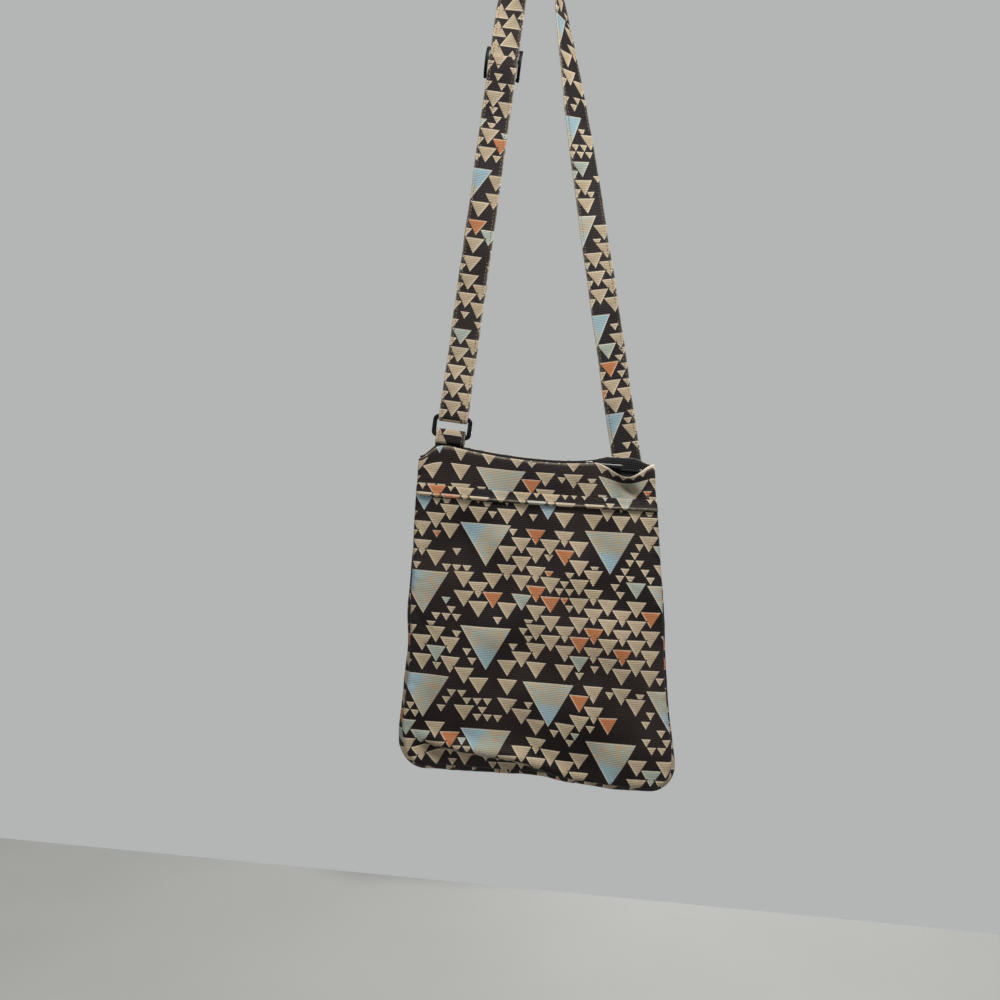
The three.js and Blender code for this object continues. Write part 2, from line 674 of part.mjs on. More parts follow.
addPiece(group, 'zip_top_stop_front', zipTopStop(frontPoint), PALE_METAL, 0.35, 1);
addPiece(group, 'zip_top_stop_back', zipTopStop(backPoint), PALE_METAL, 0.35, 1);
addPiece(group, 'zip_bottom_stop', zipBottomStop(), PALE_METAL, 0.35, 1);
addPiece(group, 'strap_main', strapMain(), PRINT, 0.9);

// The zip slider sits at the fork, just left of where the mouth is open.
const zipGroup = new THREE.Group();
const zipSliderU = OPEN_FROM - ZIP_SLIDER_LENGTH / 2;
zipGroup.position.set(zipSliderU, BAG_Y, topEdgeZ(zipSliderU) - ZIP_DROP);
zipGroup.rotation.y = Math.atan(TOP_SLOPE);
addPiece(zipGroup, 'zip_slider', zipSlider(), PALE_METAL, 0.35, 1);
const pullGroup = new THREE.Group();
pullGroup.position.z = PULL_PIVOT_Z;
addPiece(pullGroup, 'zip_pull', zipPull(), PALE_METAL, 0.35, 1);
zipGroup.add(pullGroup);
group.add(zipGroup);

// Pieces on the left run lie in its axes: z up along the strap, from the bag's top edge.
const leftGroup = new THREE.Group();
leftGroup.position.copy(LEFT_RUN.foot);
leftGroup.rotation.y = LEFT_TILT;
addPiece(leftGroup, 'ring', ring(), BLACK_METAL, 0.4, 0.6);
addPiece(leftGroup, 'ring_tab', ringTab(), PRINT, 0.9);
addPiece(leftGroup, 'strap_slider', strapSlider(), BLACK_METAL, 0.4, 0.6);
addPiece(leftGroup, 'strap_return', strapReturn(), PRINT, 0.9);
addPiece(leftGroup, 'strap_end_fold', strapEndFold(), PRINT, 0.9);
group.add(leftGroup);

export default group;
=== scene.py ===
# Crossbody bag of printed cloth, hung by its strap: the looks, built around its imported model.
# Metres, +X to the right as seen from the front, +Y to the back, +Z up.
# On the bag's cloth, u runs to the right and v down from the top edge.
import math
from collections import namedtuple

import bmesh
import bpy
import numpy as np
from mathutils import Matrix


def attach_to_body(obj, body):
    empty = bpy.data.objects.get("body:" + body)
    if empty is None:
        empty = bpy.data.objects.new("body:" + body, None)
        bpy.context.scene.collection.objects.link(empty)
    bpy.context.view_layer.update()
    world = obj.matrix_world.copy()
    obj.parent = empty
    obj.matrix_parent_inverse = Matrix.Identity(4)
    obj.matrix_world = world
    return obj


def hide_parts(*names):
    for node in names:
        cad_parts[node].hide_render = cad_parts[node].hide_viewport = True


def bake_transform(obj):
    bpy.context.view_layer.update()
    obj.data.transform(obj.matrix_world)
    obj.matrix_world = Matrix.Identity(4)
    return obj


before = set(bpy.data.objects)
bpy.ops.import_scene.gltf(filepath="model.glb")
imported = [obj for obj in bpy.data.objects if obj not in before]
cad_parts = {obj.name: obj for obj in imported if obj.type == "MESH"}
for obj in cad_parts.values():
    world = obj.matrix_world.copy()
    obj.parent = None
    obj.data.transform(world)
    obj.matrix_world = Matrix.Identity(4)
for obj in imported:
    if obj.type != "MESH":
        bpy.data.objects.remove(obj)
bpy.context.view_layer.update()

# Bag body, as in the model
CLOTH = 0.0015
CLEARANCE = 0.0003
BAG_HEIGHT = 0.279
TOP_WIDTH = 0.204
BOTTOM_WIDTH = 0.242
CORNER_RADIUS = 0.025
MOUTH_DEPTH = 0.014
BASE_DEPTH = 0.026
TOP_BAND = 0.030
FRONT_CROWN = 0.001
BACK_CROWN = 0.003
FOLD_DEPTH = 0.0008
FOLDS_ACROSS = 3
TOP_SLOPE = 0.07
POCKET_DROP = 0.031
POCKET_ROOM = 0.008
HEM_HEIGHT = 0.008
HEM_DROOP = 0.0015
HEM_DROOP_REACH = 0.060
OPEN_FROM = 0.051
OPEN_DIP = 0.0125
OPEN_GAPE = 0.008

# Zip, strap, ring and slider, as in the model
ZIP_DROP = 0.0054
ZIP_HALF_LENGTH = 0.090
TAPE_END = 0.006
COIL_WIDTH = 0.002
COIL_HEIGHT = 0.0022
COIL_GAP = 0.0012
STRAP_WIDTH = 0.0254
STRAP_THICKNESS = 0.0016
STRAP_DROP = 0.482
STRAP_REACH = 0.077
RIGHT_REACH_EXTRA = 0.004
STRAP_SEWN = 0.028
PEG_RADIUS = 0.011
LEFT_TWIST_LENGTH = 0.088
RIGHT_TWIST_POWER = 2.4
RING_HEIGHT = 0.020
RING_INNER_WIDTH = 0.027
RING_BAR = 0.004
RING_CORNER = 0.003
RING_RISE = 0.014
RING_Y = -0.00315
LOOP_RISE = 0.012
TAB_SEWN = 0.026
TAB_SLANT_TOP = 0.0076
TAB_SLANT_FOOT = 0.0022
SLIDER_RISE = 0.348
SLIDER_HEIGHT = 0.028
SLIDER_BAR = 0.0028
SLIDER_SIDE_CLEARANCE = 0.0006
RETURN_SPACING = 0.002
RETURN_FLARE = 0.045
FOLD_FRONT = 0.006
FOLD_TAIL = 0.018

# Seams, hems and the gusset
EDGE_ROLL = 0.003
POCKET_ROLL = 0.004
ROLL_STARTS = (0.004, 0.024)
PUCKER = 0.00045
PUCKER_REACH = 0.007
PUCKER_LENGTHS = (0.007, 0.016)
FRONT_PUCKER_SEED = 3
BACK_PUCKER_SEED = 5
POCKET_PUCKER_SEED = 7
POCKET_SEAM = 0.0014
POCKET_TOP = POCKET_DROP + 0.0011
HEM_THICKNESS = 0.0026
HEM_TAPER = 0.014
DROOP_LIMIT = 1.1
SIDE_BULGE = 0.0035
BASE_BULGE = 0.0065
GUSSET_FOLD = -0.0025
GUSSET_OPENS = (0.02, 0.15)
GUSSET_THICKNESS = 0.0012
GUSSET_INWARD = 0.0004
GUSSET_ROUNDNESS = 0.65
GUSSET_TUCK = 0.0005
GUSSET_RIPPLE = 0.0004
GUSSET_RIPPLE_SPAN = 0.01

# How the mouth hangs, the sides wave and the base sags
HANG_DEPTH = 0.0046
HANG_MIDDLE = 0.013
HANG_REACH_LEFT = 0.068
HANG_REACH_RIGHT = 0.050
HANG_RISE_LEFT = 0.0033
MOUTH_FADE_LIMIT = 1.05
OPEN_POWER = 1.6
BACK_EDGE_RISE = 0.003
BACK_RISE_RIGHT = 0.0015
BACK_RISE_ACROSS = (0.045, 0.072)
BACK_FALL_REACH = 0.017
LEFT_SAG = 0.0117
LEFT_SAG_REACH = 0.026
BASE_SAG = 0.0056
BASE_SAG_ACROSS = (-0.015, 0.075)
SIDE_WAVE = 0.0014
SIDE_WAVE_STARTS = (0.04, 0.12)
LEFT_WAVE = (57, 0.6)
RIGHT_WAVE = (47, 2.2)

# Swells of the cloth; each set of waves has a seed, a shortest and a longest length
SWELL = 0.0021
FRONT_SWELL_SHARE = 0.7
LOW_SWELL_SHARE = 0.35
FRONT_WAVES = (11, 0.05, 0.11)
BACK_WAVES = (23, 0.05, 0.12)
POCKET_WAVES = (31, 0.045, 0.10)
GUSSET_WAVES = (41, 0.012, 0.05)

# Crease above the base
CREASE_U = -0.0747
CREASE_V = 0.2528
CREASE_SLOPE = 0.165
CREASE_WAVE = 0.0015
CREASE_WAVE_RATE = 70
CREASE_STARTS = (-0.112, -0.080)
CREASE_ENDS = (0.02, 0.062)
CREASE_TURN = (-0.001, 0.006)
BASE_DENT = 0.008
BASE_RIDGE = 0.003
RIDGE_RISE = 0.004
RIDGE_WIDTH = 0.006
BASE_TAKE = 0.007
TAKE_REACH = 0.003

# Fold below the open mouth and pucker at the left seam: place, direction, length and depth
DIP_FOLD = ((0.081, 0.022), (0.53, 0.85), 0.011, 0.0055)
SIDE_PUCKER = ((-0.099, 0.147), (0.6, 0.8), 0.016, 0.0014)
DENT_WIDTH = 0.0045

# Lining, and the pocket's binding; its front, from the lip up, is given as height above its foot
# and distance outward
LINING_TOP = 0.0145
LINING_INSET = 0.006
LINING_INWARD = 0.0024
LINING_THICKNESS = 0.0006
BINDING_LIP = ((-0.0005, 0.0012), (-0.0002, 0.0024), (0.0008, 0.0029))
BINDING_FACE = ((0.0020, 0.0022), (0.0034, 0.0014), (0.0050, 0.0012))
BINDING_TOP = 0.0012
BINDING_CREST = 0.0009
BINDING_SPACE = 0.001
BINDING_BACK_RISE = 0.001
BINDING_THICKNESS = 0.0008
BINDING_INSET = 0.0005

# Flat sizes of the sheets that aren't plain from the sizes above
BINDING_FLAT = (0.212, 0.020)
GUSSET_FLAT = (0.770, 0.024)
LINING_FLAT = (0.226, 0.256)
TAPE_WIDTH = 0.012

# Pale rims along the edges, where the cloth is rubbed and where a highlight is painted on the edges
# that catch the light
RIM_WIDTH = 0.0006
DIP_RIM_WIDTH = 0.0019
DIP_RIM_FROM = 0.079
DIP_RIM_FADE = 0.006
SLOPE_RIM_FADE = 0.008
FRONT_RUB_AND_HIGHLIGHT = 0.35
BACK_RUB_AND_HIGHLIGHT = 1.0
FLANK_RUB_AND_HIGHLIGHT = 1.4
FACING_FROM = 0.8
LIP_RUB_AND_HIGHLIGHT = 0.8
LIP_RISE = 0.0004
LIP_WIDTH = 0.0006
STRAP_RUB_AND_HIGHLIGHT = 0.9
STRAP_RUB_AND_HIGHLIGHT_WIDTH = 0.0005

# Where on the printed cloth each piece is cut
FRONT_PRINT = (0.20, 0.35)
BACK_PRINT = (0.55, 0.41)
POCKET_PRINT = (0.16, 0.53)
BINDING_PRINT = (0.147, 0.083)
GUSSET_PRINT = 0.31
STRAP_PRINT = 0.0325
TAB_PRINT = 0.388

# Strap, tab and stitches
STRAP_EDGE_ROUND = 0.0011
STRAP_EDGE_LEFT = 0.06
STRAP_SWAY = 0.00025
SWAY_LENGTHS = (0.03, 0.12)
STRAP_BUCKLE = 0.0003
BUCKLE_LENGTHS = (0.02, 0.07)
SMOOTH_FADE = 0.04
SMOOTH_FROM = 0.06
LOOP_SLACK = 0.002
LOOP_END_START = 0.001
TAB_HALF = 0.0048
TAB_CREST_ROOM = 0.0016
TAB_CUT = 0.0008
TAB_FLANK = -0.0004
TAB_CREST = 0.0003
TAB_SHOULDER_DROP = 0.002
TAB_EASE = 0.0016
STITCH_INSET = 0.0026
STITCH_GROOVE = 0.00022
STITCH_GROOVE_WIDTH = 0.0007
STITCH_LENGTH = 0.0026
STITCH_PITCH = 0.0034
STITCH_SINK = 0.00012
THREAD_RADIUS = 0.00030
THREAD_FLATTENING = 1.15

# Zip and metal fittings
TAPE_INWARD = 0.0032
TAPE_LEG = (0.0138, 0.0110, 0.0082)
TAPE_BEND = ((0.0064, 0.0001), (0.0056, 0.0006), (ZIP_DROP, 0.0011))
TAPE_OVERLAP = 0.0006
TAPE_THICKNESS = 0.0006
TOOTH_PITCH = 0.0016
TOOTH_FILL = 0.36
TOOTH_ROUNDNESS = 0.75
RING_ROUNDNESS = 0.7
RAIL_ROUNDNESS = 0.45
RAIL_END_FROM = 0.94
RAIL_END_TAPER = 0.35
CROSS_BAR_FIT = 0.98
SMALL_BEVEL = 0.0003
SLIDER_BEVEL = 0.0004
FLAT_ANGLE = 2
BEVEL_ANGLE = 25

# Spacing of the meshes
ROW_STEP = 0.0017
COLUMNS = 120
CORNER_STEPS = 18
EDGE_CROWDING = 0.55
GUSSET_COLUMNS = 17
BINDING_STEPS = 9
TAPE_STEP = 0.0018
STRAP_STEP = 0.0026
STRAP_COLUMNS = 23
TAB_STEP = 0.0008
EASE_STEPS = 9
PEG_STEPS = 25
LOOP_STEPS = 19
LOOP_END_STEPS = 6
FOLD_STEPS = 15
RING_CORNER_STEPS = 9
RAIL_STEPS = 25
BAR_SIDES = 20
TOOTH_SIDES = 10
STITCH_SIDES = 8
BEAD_ROWS = 6
SHARP_ANGLE = 50
METAL_SHARP_ANGLE = 40

# Colours of the cloth and its print
CHARCOAL = "#110a08"
FADED = "#2a211f"
FACING = "#1b191a"
CREAM = "#a5947a"
DEEP_EDGE = "#7d6c58"
PALE_EDGE = "#cfc2ab"
GREY_GREEN = "#939c91"
LIGHT_BLUE = "#869ea5"
ORANGE = "#a8663e"

# Other colours; each metal has a second one where it is worn
THREAD = "#7d7161"
LINING = "#3a383b"
TAPE = "#2c2a2d"
COIL = "#2a292b"
PALE_METAL = ("#83817d", "#a19e98")
DARK_METAL = ("#060607", "#1c1b1b")
FLOOR_DARK = "#8d8e8a"
FLOOR_LIGHT = "#989995"
BACKGROUND = "#b4b5b5"
WORLD_LIGHT = (0.24, 0.24, 0.25, 1.0)

# Print: pitch of the lattices and width and height of the triangles, in three sizes
LARGE_PITCH = (0.106, 0.088)
LARGE_SIZE = (0.043, 0.0365)
MEDIUM_PITCH = (0.0244, 0.0162)
MEDIUM_SIZE = (0.0170, 0.0134)
SMALL_PITCH = (0.0087, 0.0140)
SMALL_SIZE = (0.0077, 0.0060)
SMALL_ORANGE = 0.03
MEDIUM_ORANGE = 0.09
GREEN_SHARE = 0.05
EDGE_SOFTNESS = 0.00035
GAP_ROUND = 0.0007
PATCH_SCALE = 26.0
PATCH_EDGE = (0.44, 0.52)
PATCH_LEVEL = 0.7
HEART_SHARE = 0.36
COVER_SHARE = 0.5
PICK_SEED = 40

# Print: soft edges between the quarters of a large triangle, and the shading of every triangle
UPRIGHT_EDGE = (-0.001, 0.003)
TIP_EDGE = (-0.002, 0.003)
SIDES_EDGE = (-0.004, 0.004)
SHADE_FROM = 0.002
SHADE_REACH = 0.9
LIT_RIM = (0.0013, 0.0003)
LIT_RIM_SHARE = 0.6

# Weaves and scuffs: how strongly they shade, and their relief
RIB_PITCH = 0.0015
RIB_SHADE = 0.05
RIB_RELIEF = 0.5
THREAD_SHADE = (0.26, 0.80)
THREAD_RELIEF = 0.6
CLOUD_SHADE = (0.5, 0.75)
CROSSING_SHADE = 0.2
SCUFF_ROUGHNESS = 0.25
SCUFF_POLISH = 0.12
PRINT_HEIGHT = 0.00016
WOVEN_HEIGHT = 0.0001
SCUFF_HEIGHT = 0.00003
EDGE_JITTER = 0.0005

# Scales of the noise in the materials, and the values between which noise, wear and the painted edge
# highlight fade in
JITTER_SCALE = 900.0
FADE_SCALE = 13.0
THREAD_SCALE = 2600.0
CLOUD_SCALE = 22.0
WEAR_AND_HIGHLIGHT_SCALE = 260.0
MOTTLE_SCALE = 190.0
FUZZ_SCALE = 1500.0
SCUFF_SCALE = 420.0
METAL_WEAR_SCALE = 90.0
FLOOR_SCALE = 6.0
FADE_EDGE = (0.40, 0.72)
MOTTLE_EDGE = (0.40, 0.60)
WEAR_AND_HIGHLIGHT_NOISE_EDGE = (0.2, 0.6)
WEAR_AND_HIGHLIGHT_EDGE = (0.0, 1.3)
FACING_EDGE = (-0.1, -0.6)
METAL_WEAR_EDGE = (0.30, 0.46)

# Camera at the photograph's viewing angle
CAMERA_PLACE = (-0.0318, -0.665, -0.519)
CAMERA_LENS = 27.04
SENSOR_WIDTH = 36

# Lights: place, target, size and power
LIGHTS = {
    "key": ((0.55, -0.85, 0.75), (0.0, 0.0, -0.6), 0.6, 34),
    "fill": ((-1.2, -1.0, -0.1), (0.0, 0.0, -0.6), 1.2, 7),
    "back": ((0.8, 3.0, 0.3), (0.0, 0.0, -0.5), 1.6, 85),
}

# Floor: height, the two ends of its far edge as seen in the picture, and how far it goes
FLOOR_Z = -0.875
FLOOR_EDGE = ((-0.413, 0.099), (0.284, -0.0315))
FLOOR_HALF_LENGTH = 3
FLOOR_DEPTH = 4

# Places worked out from the sizes above
BAG_Y = -STRAP_THICKNESS / 2 - CLEARANCE - MOUTH_DEPTH / 2
CORNER_TOP = BAG_HEIGHT - CORNER_RADIUS
BASE_FILLS = (CORNER_TOP - 0.02, CORNER_TOP + 0.014)
COIL_INWARD = MOUTH_DEPTH / 2 - COIL_GAP / 2 - COIL_WIDTH
RING_TOP_RISE = RING_RISE + RING_HEIGHT - RING_BAR
FOLD_RADIUS = SLIDER_BAR / 2 + CLEARANCE + STRAP_THICKNESS / 2
FOLD_BACK_Y = -STRAP_THICKNESS - CLEARANCE
SLIDER_BAR_Y = FOLD_BACK_Y - FOLD_RADIUS


# Small mathematics
def lerp(a, b, t):
    return a + (b - a) * t


def smoothstep(x, low, high):
    t = np.clip((x - low) / (high - low), 0.0, 1.0)
    return t * t * (3 - 2 * t)


def hump(x, width):
    """A smooth hill of unit height around 0."""
    return np.exp(-((x / width) ** 2))


def unit(vectors):
    return vectors / np.linalg.norm(vectors, axis=-1, keepdims=True)


def run_along(points):
    """Length along a path from its first point to each."""
    steps = np.linalg.norm(np.diff(points, axis=0), axis=1)
    return np.concatenate([[0.0], np.cumsum(steps)])


def stacked(*values):
    """Points, or places on the cloth, from their coordinates."""
    return np.stack(np.broadcast_arrays(*values), axis=-1)


def left_of(path):
    """Unit vectors square to a flat path, on its left."""
    ahead = unit(np.gradient(path, axis=0))
    return stacked(-ahead[:, 1], ahead[:, 0])


def values_at(stops, run, values):
    """Rows of values at some run lengths, straight between the given ones."""
    return np.stack([np.interp(stops, run, column) for column in values.T], axis=-1)


def waves(u, v, seed, shortest, longest, count=9):
    """Smooth waves of about unit height in several directions, the same on every run."""
    rng = np.random.default_rng(seed)
    total = np.zeros(np.broadcast(u, v).shape)
    for _ in range(count):
        length = rng.uniform(shortest, longest)
        angle = rng.uniform(0, math.pi)
        phase = rng.uniform(0, 2 * math.pi)
        travel = u * math.cos(angle) + v * math.sin(angle)
        total += np.sin(2 * math.pi * travel / length + phase)
    return total / math.sqrt(count)


def colour(code):
    """Linear colour from a hex code."""
    parts = [int(code[i:i + 2], 16) / 255 for i in (1, 3, 5)]
    return tuple(p / 12.92 if p <= 0.04045 else ((p + 0.055) / 1.055) ** 2.4 for p in parts) + (1.0,)


# Mesh building
def add_object(name, data):
    thing = bpy.data.objects.new(name, data)
    bpy.context.scene.collection.objects.link(thing)
    return thing


def shade_smooth(mesh, sharp_angle):
    mesh.polygons.foreach_set("use_smooth", np.ones(len(mesh.polygons), dtype=bool))
    mesh.set_sharp_from_angle(angle=math.radians(sharp_angle))


def make_piece(name, points, faces, uvs, material, wear_and_highlight=None):
    mesh = bpy.data.meshes.new(name)
    mesh.from_pydata([tuple(p) for p in points], [], faces)
    if wear_and_highlight is not None:
        mesh.attributes.new("wear_and_highlight", "FLOAT", "POINT").data.foreach_set("value", wear_and_highlight.astype(np.float32))
    layer = mesh.uv_layers.new(name="cloth")
    corners = np.empty(len(mesh.loops), dtype=np.int32)
    mesh.loops.foreach_get("vertex_index", corners)
    layer.data.foreach_set("uv", np.asarray(uvs, dtype=np.float32)[corners].ravel())
    face_outward(mesh)
    shade_smooth(mesh, SHARP_ANGLE)
    mesh.materials.append(material)
    return add_object(name, mesh)


def face_outward(mesh):
    shell = bmesh.new()
    shell.from_mesh(mesh)
    bmesh.ops.recalc_face_normals(shell, faces=shell.faces)
    shell.to_mesh(mesh)
    shell.free()


def loft_faces(ring_count, size, is_loop):
    """Quads of a tube through rings whose ends close by joining each point to the one across."""
    faces = []
    spans = ring_count if is_loop else ring_count - 1
    for i in range(spans):
        here = i * size
        after = ((i + 1) % ring_count) * size
        for j in range(size):
            k = (j + 1) % size
            faces.append((here + j, here + k, after + k, after + j))
    if not is_loop:
        last = (ring_count - 1) * size
        for j in range(size // 2 - 1):
            across = size - 1 - j
            faces.append((j, across, across - 1, j + 1))
            faces.append((last + j, last + j + 1, last + across - 1, last + across))
    return faces


def loft(name, rings, uvs, material, wear_and_highlight=None):
    """A closed tube through rings; the last argument gives how pale the cloth is at each point of a
    ring, for rub wear and a painted highlight along lit edges.
    """
    count, size = rings.shape[:2]
    faces = loft_faces(count, size, False)
    rub_and_highlight = None if wear_and_highlight is None else np.broadcast_to(wear_and_highlight, (count, size)).ravel()
    return make_piece(name, rings.reshape(-1, 3), faces, uvs.reshape(-1, 2), material, rub_and_highlight)


# Shape of the bag
def bulge_at(v):
    """How far the gusset stands out past the panels' seams: folded in at the top, full at the base."""
    side = lerp(GUSSET_FOLD, SIDE_BULGE, smoothstep(v, *GUSSET_OPENS))
    return side + (BASE_BULGE - SIDE_BULGE) * smoothstep(v, *BASE_FILLS)


def inset_at(v):
    return np.maximum(bulge_at(v), 0.0)


def side_at(v, inset):
    return lerp(TOP_WIDTH, BOTTOM_WIDTH, np.maximum(v, 0.0) / BAG_HEIGHT) / 2 - inset


def half_width(v, inset):
    radius = CORNER_RADIUS - inset
    down = np.clip(v - CORNER_TOP, 0.0, radius)
    return side_at(v, inset) - radius + np.sqrt(np.maximum(radius**2 - down**2, 0.0))


def edge_distance(u, v, inset):
    """Distance from the seam along the two sides and the base."""
    radius = CORNER_RADIUS - inset
    across = np.abs(u) - (side_at(v, inset) - radius)
    down = v - CORNER_TOP
    outside = np.hypot(np.maximum(across, 0.0), np.maximum(down, 0.0))
    return radius - outside - np.minimum(np.maximum(across, down), 0.0)


def top_edge(u):
    return -STRAP_DROP - TOP_SLOPE * u


def half_depth(v):
    swell = smoothstep(v, TOP_BAND, BAG_HEIGHT - TOP_BAND)
    return lerp(MOUTH_DEPTH, BASE_DEPTH, swell) / 2


def share_across(u, v):
    return np.minimum(1.0, np.abs(u) / half_width(np.minimum(v, CORNER_TOP), 0.0))


def toward_base(v):
    return smoothstep(v, BAG_HEIGHT / 2, BAG_HEIGHT)


def crown(u, v, height):
    s = share_across(u, v)
    below = smoothstep(v, TOP_BAND, BAG_HEIGHT / 2)
    folds = FOLD_DEPTH * np.cos(FOLDS_ACROSS * math.pi * s)
    return (height + folds) * (1 - s * s) * below * (1 - toward_base(v))


def mouth_fade(v):
    return np.clip(1 - v / POCKET_DROP, 0.0, MOUTH_FADE_LIMIT)


def openness(u, v):
    along = np.clip((u - OPEN_FROM) / (TOP_WIDTH / 2 - OPEN_FROM), 0.0, 1.0)
    return (np.sin(math.pi * along) * mouth_fade(v)) ** OPEN_POWER


def hang(u, v, lift):
    """The top edge hangs in a curve between the strap's ends, and the base sags at its right."""
    left = 1 - smoothstep(u, -TOP_WIDTH / 2, -TOP_WIDTH / 2 + LEFT_SAG_REACH)
    is_left = u < HANG_MIDDLE
    reach = np.where(is_left, HANG_REACH_LEFT, HANG_REACH_RIGHT)
    curve = HANG_DEPTH * (((u - HANG_MIDDLE) / reach) ** 2 - 1)
    curve = np.minimum(curve, np.where(is_left, HANG_RISE_LEFT, 0.0))
    top = (curve + lift - LEFT_SAG * left**2) * mouth_fade(v) ** 2
    return top - BASE_SAG * toward_base(v) * smoothstep(u, *BASE_SAG_ACROSS)


def back_rise(u):
    """How far the back's top edge stands above the front's; it falls off at the right corner."""
    rise = BACK_EDGE_RISE + BACK_RISE_RIGHT * smoothstep(u, *BACK_RISE_ACROSS)
    return rise * (1 - smoothstep(u, TOP_WIDTH / 2 - BACK_FALL_REACH, TOP_WIDTH / 2))


def side_wave(u, v):
    """The sides aren't quite straight: a slow wave of each seam."""
    left, right = [np.sin(rate * v + start) for rate, start in (LEFT_WAVE, RIGHT_WAVE)]
    window = smoothstep(v, *SIDE_WAVE_STARTS) * (1 - smoothstep(v, CORNER_TOP, BAG_HEIGHT))
    return SIDE_WAVE * window * np.where(u < 0, left, right) * (u / (BOTTOM_WIDTH / 2)) ** 3


def rolled(distance, v, radius):
    """Quarter-round turn of a panel into its seam, which starts below the mouth."""
    t = np.clip(1 - distance / radius, 0.0, 1.0)
    return radius * (1 - np.sqrt(np.maximum(1 - t * t, 0.0))) * smoothstep(v, *ROLL_STARTS)


def puckers(u, v, distance, seed):
    short = waves(u, v, seed, *PUCKER_LENGTHS)
    return PUCKER * short * np.exp(-np.maximum(distance, 0.0) / PUCKER_REACH)


def crease_line(u):
    """How far down the crease above the base lies, and how much of it there is."""
    line = CREASE_V + (u - CREASE_U) * CREASE_SLOPE + CREASE_WAVE * np.sin(u * CREASE_WAVE_RATE)
    return line, smoothstep(u, *CREASE_STARTS) * (1 - smoothstep(u, *CREASE_ENDS))


def base_crease(u, v):
    """The front hangs over a soft crease above the base and turns under below it, most at the left."""
    line, window = crease_line(u)
    over = hump(v - line + RIDGE_RISE, RIDGE_WIDTH) * BASE_RIDGE
    under = smoothstep(v - line, *CREASE_TURN) * BASE_DENT
    return window * (under - over)


def taken_up(u, v):
    """Cloth that the crease swallows, so that the print below it is shifted."""
    line, window = crease_line(u)
    return BASE_TAKE * window * smoothstep(v - line, 0.0, TAKE_REACH)


def dent(u, v, place, direction, length, depth):
    """Oval dent at a place on the cloth, long in a direction."""
    right = u - place[0]
    down = v - place[1]
    along = right * direction[0] + down * direction[1]
    across = right * direction[1] - down * direction[0]
    return depth * hump(along, length) * hump(across, DENT_WIDTH)


def panel_out(u, v, crown_height, roll, seed):
    """How far a panel stands out from the bag's middle plane, without its swells and creases."""
    distance = edge_distance(u, v, inset_at(v))
    out = half_depth(v) + crown(u, v, crown_height) - rolled(distance, v, roll)
    return out + puckers(u, v, distance, seed)


def free_cloth(u, v):
    """1 in a panel's middle, 0 along its mouth and sides."""
    return smoothstep(v, 0.0, TOP_BAND) * (1 - share_across(u, v) ** 4)


def front_point(u, v, inward, roll=EDGE_ROLL, seed=FRONT_PUCKER_SEED):
    u, v = np.broadcast_arrays(u, v)
    out = panel_out(u, v, FRONT_CROWN, roll, seed) - base_crease(u, v) - dent(u, v, *DIP_FOLD)
    out = out + FRONT_SWELL_SHARE * SWELL * free_cloth(u, v) * waves(u, v, *FRONT_WAVES)
    opened = openness(u, v)
    y = BAG_Y - out - OPEN_GAPE * opened + inward
    z = top_edge(u) - v - OPEN_DIP * opened + hang(u, v, 0.0)
    return stacked(u + side_wave(u, v), y, z)


def back_point(u, v, inward):
    u, v = np.broadcast_arrays(u, v)
    out = panel_out(u, v, BACK_CROWN, EDGE_ROLL, BACK_PUCKER_SEED)
    out = out + SWELL * free_cloth(u, v) * waves(u, v, *BACK_WAVES)
    z = top_edge(u) - v + hang(u, v, back_rise(u))
    return stacked(u + side_wave(u, v), BAG_Y + out - inward, z)


def pocket_point(u, v, inward):
    u, v = np.broadcast_arrays(u, v)
    s = share_across(u, v)
    above = 1 - toward_base(v)
    room = lerp(POCKET_SEAM, POCKET_ROOM, (1 - s**4) * above)
    near_hem = np.clip(1 - (v - POCKET_DROP) / HEM_DROOP_REACH, 0.0, DROOP_LIMIT)
    soft = SWELL * (1 - s**4) * lerp(LOW_SWELL_SHARE, 1.0, above) * waves(u, v, *POCKET_WAVES)
    points = front_point(u, v, inward, POCKET_ROLL, POCKET_PUCKER_SEED)
    points[..., 1] -= CLOTH + room + soft - dent(u, v, *SIDE_PUCKER)
    points[..., 2] -= HEM_DROOP * (1 - s * s) * near_hem
    return points


def panel_columns():
    t = np.linspace(-1, 1, COLUMNS)
    return lerp(t, np.sin(t * math.pi / 2), EDGE_CROWDING)


def panel_rows(top, inset):
    """Rows down a panel: even on the straight part, set by angle round the corners."""
    straight = np.arange(top, CORNER_TOP - ROW_STEP / 2, ROW_STEP)
    turn = np.linspace(0, math.pi / 2, CORNER_STEPS)
    return np.concatenate([straight, CORNER_TOP + (CORNER_RADIUS - inset) * np.sin(turn)])


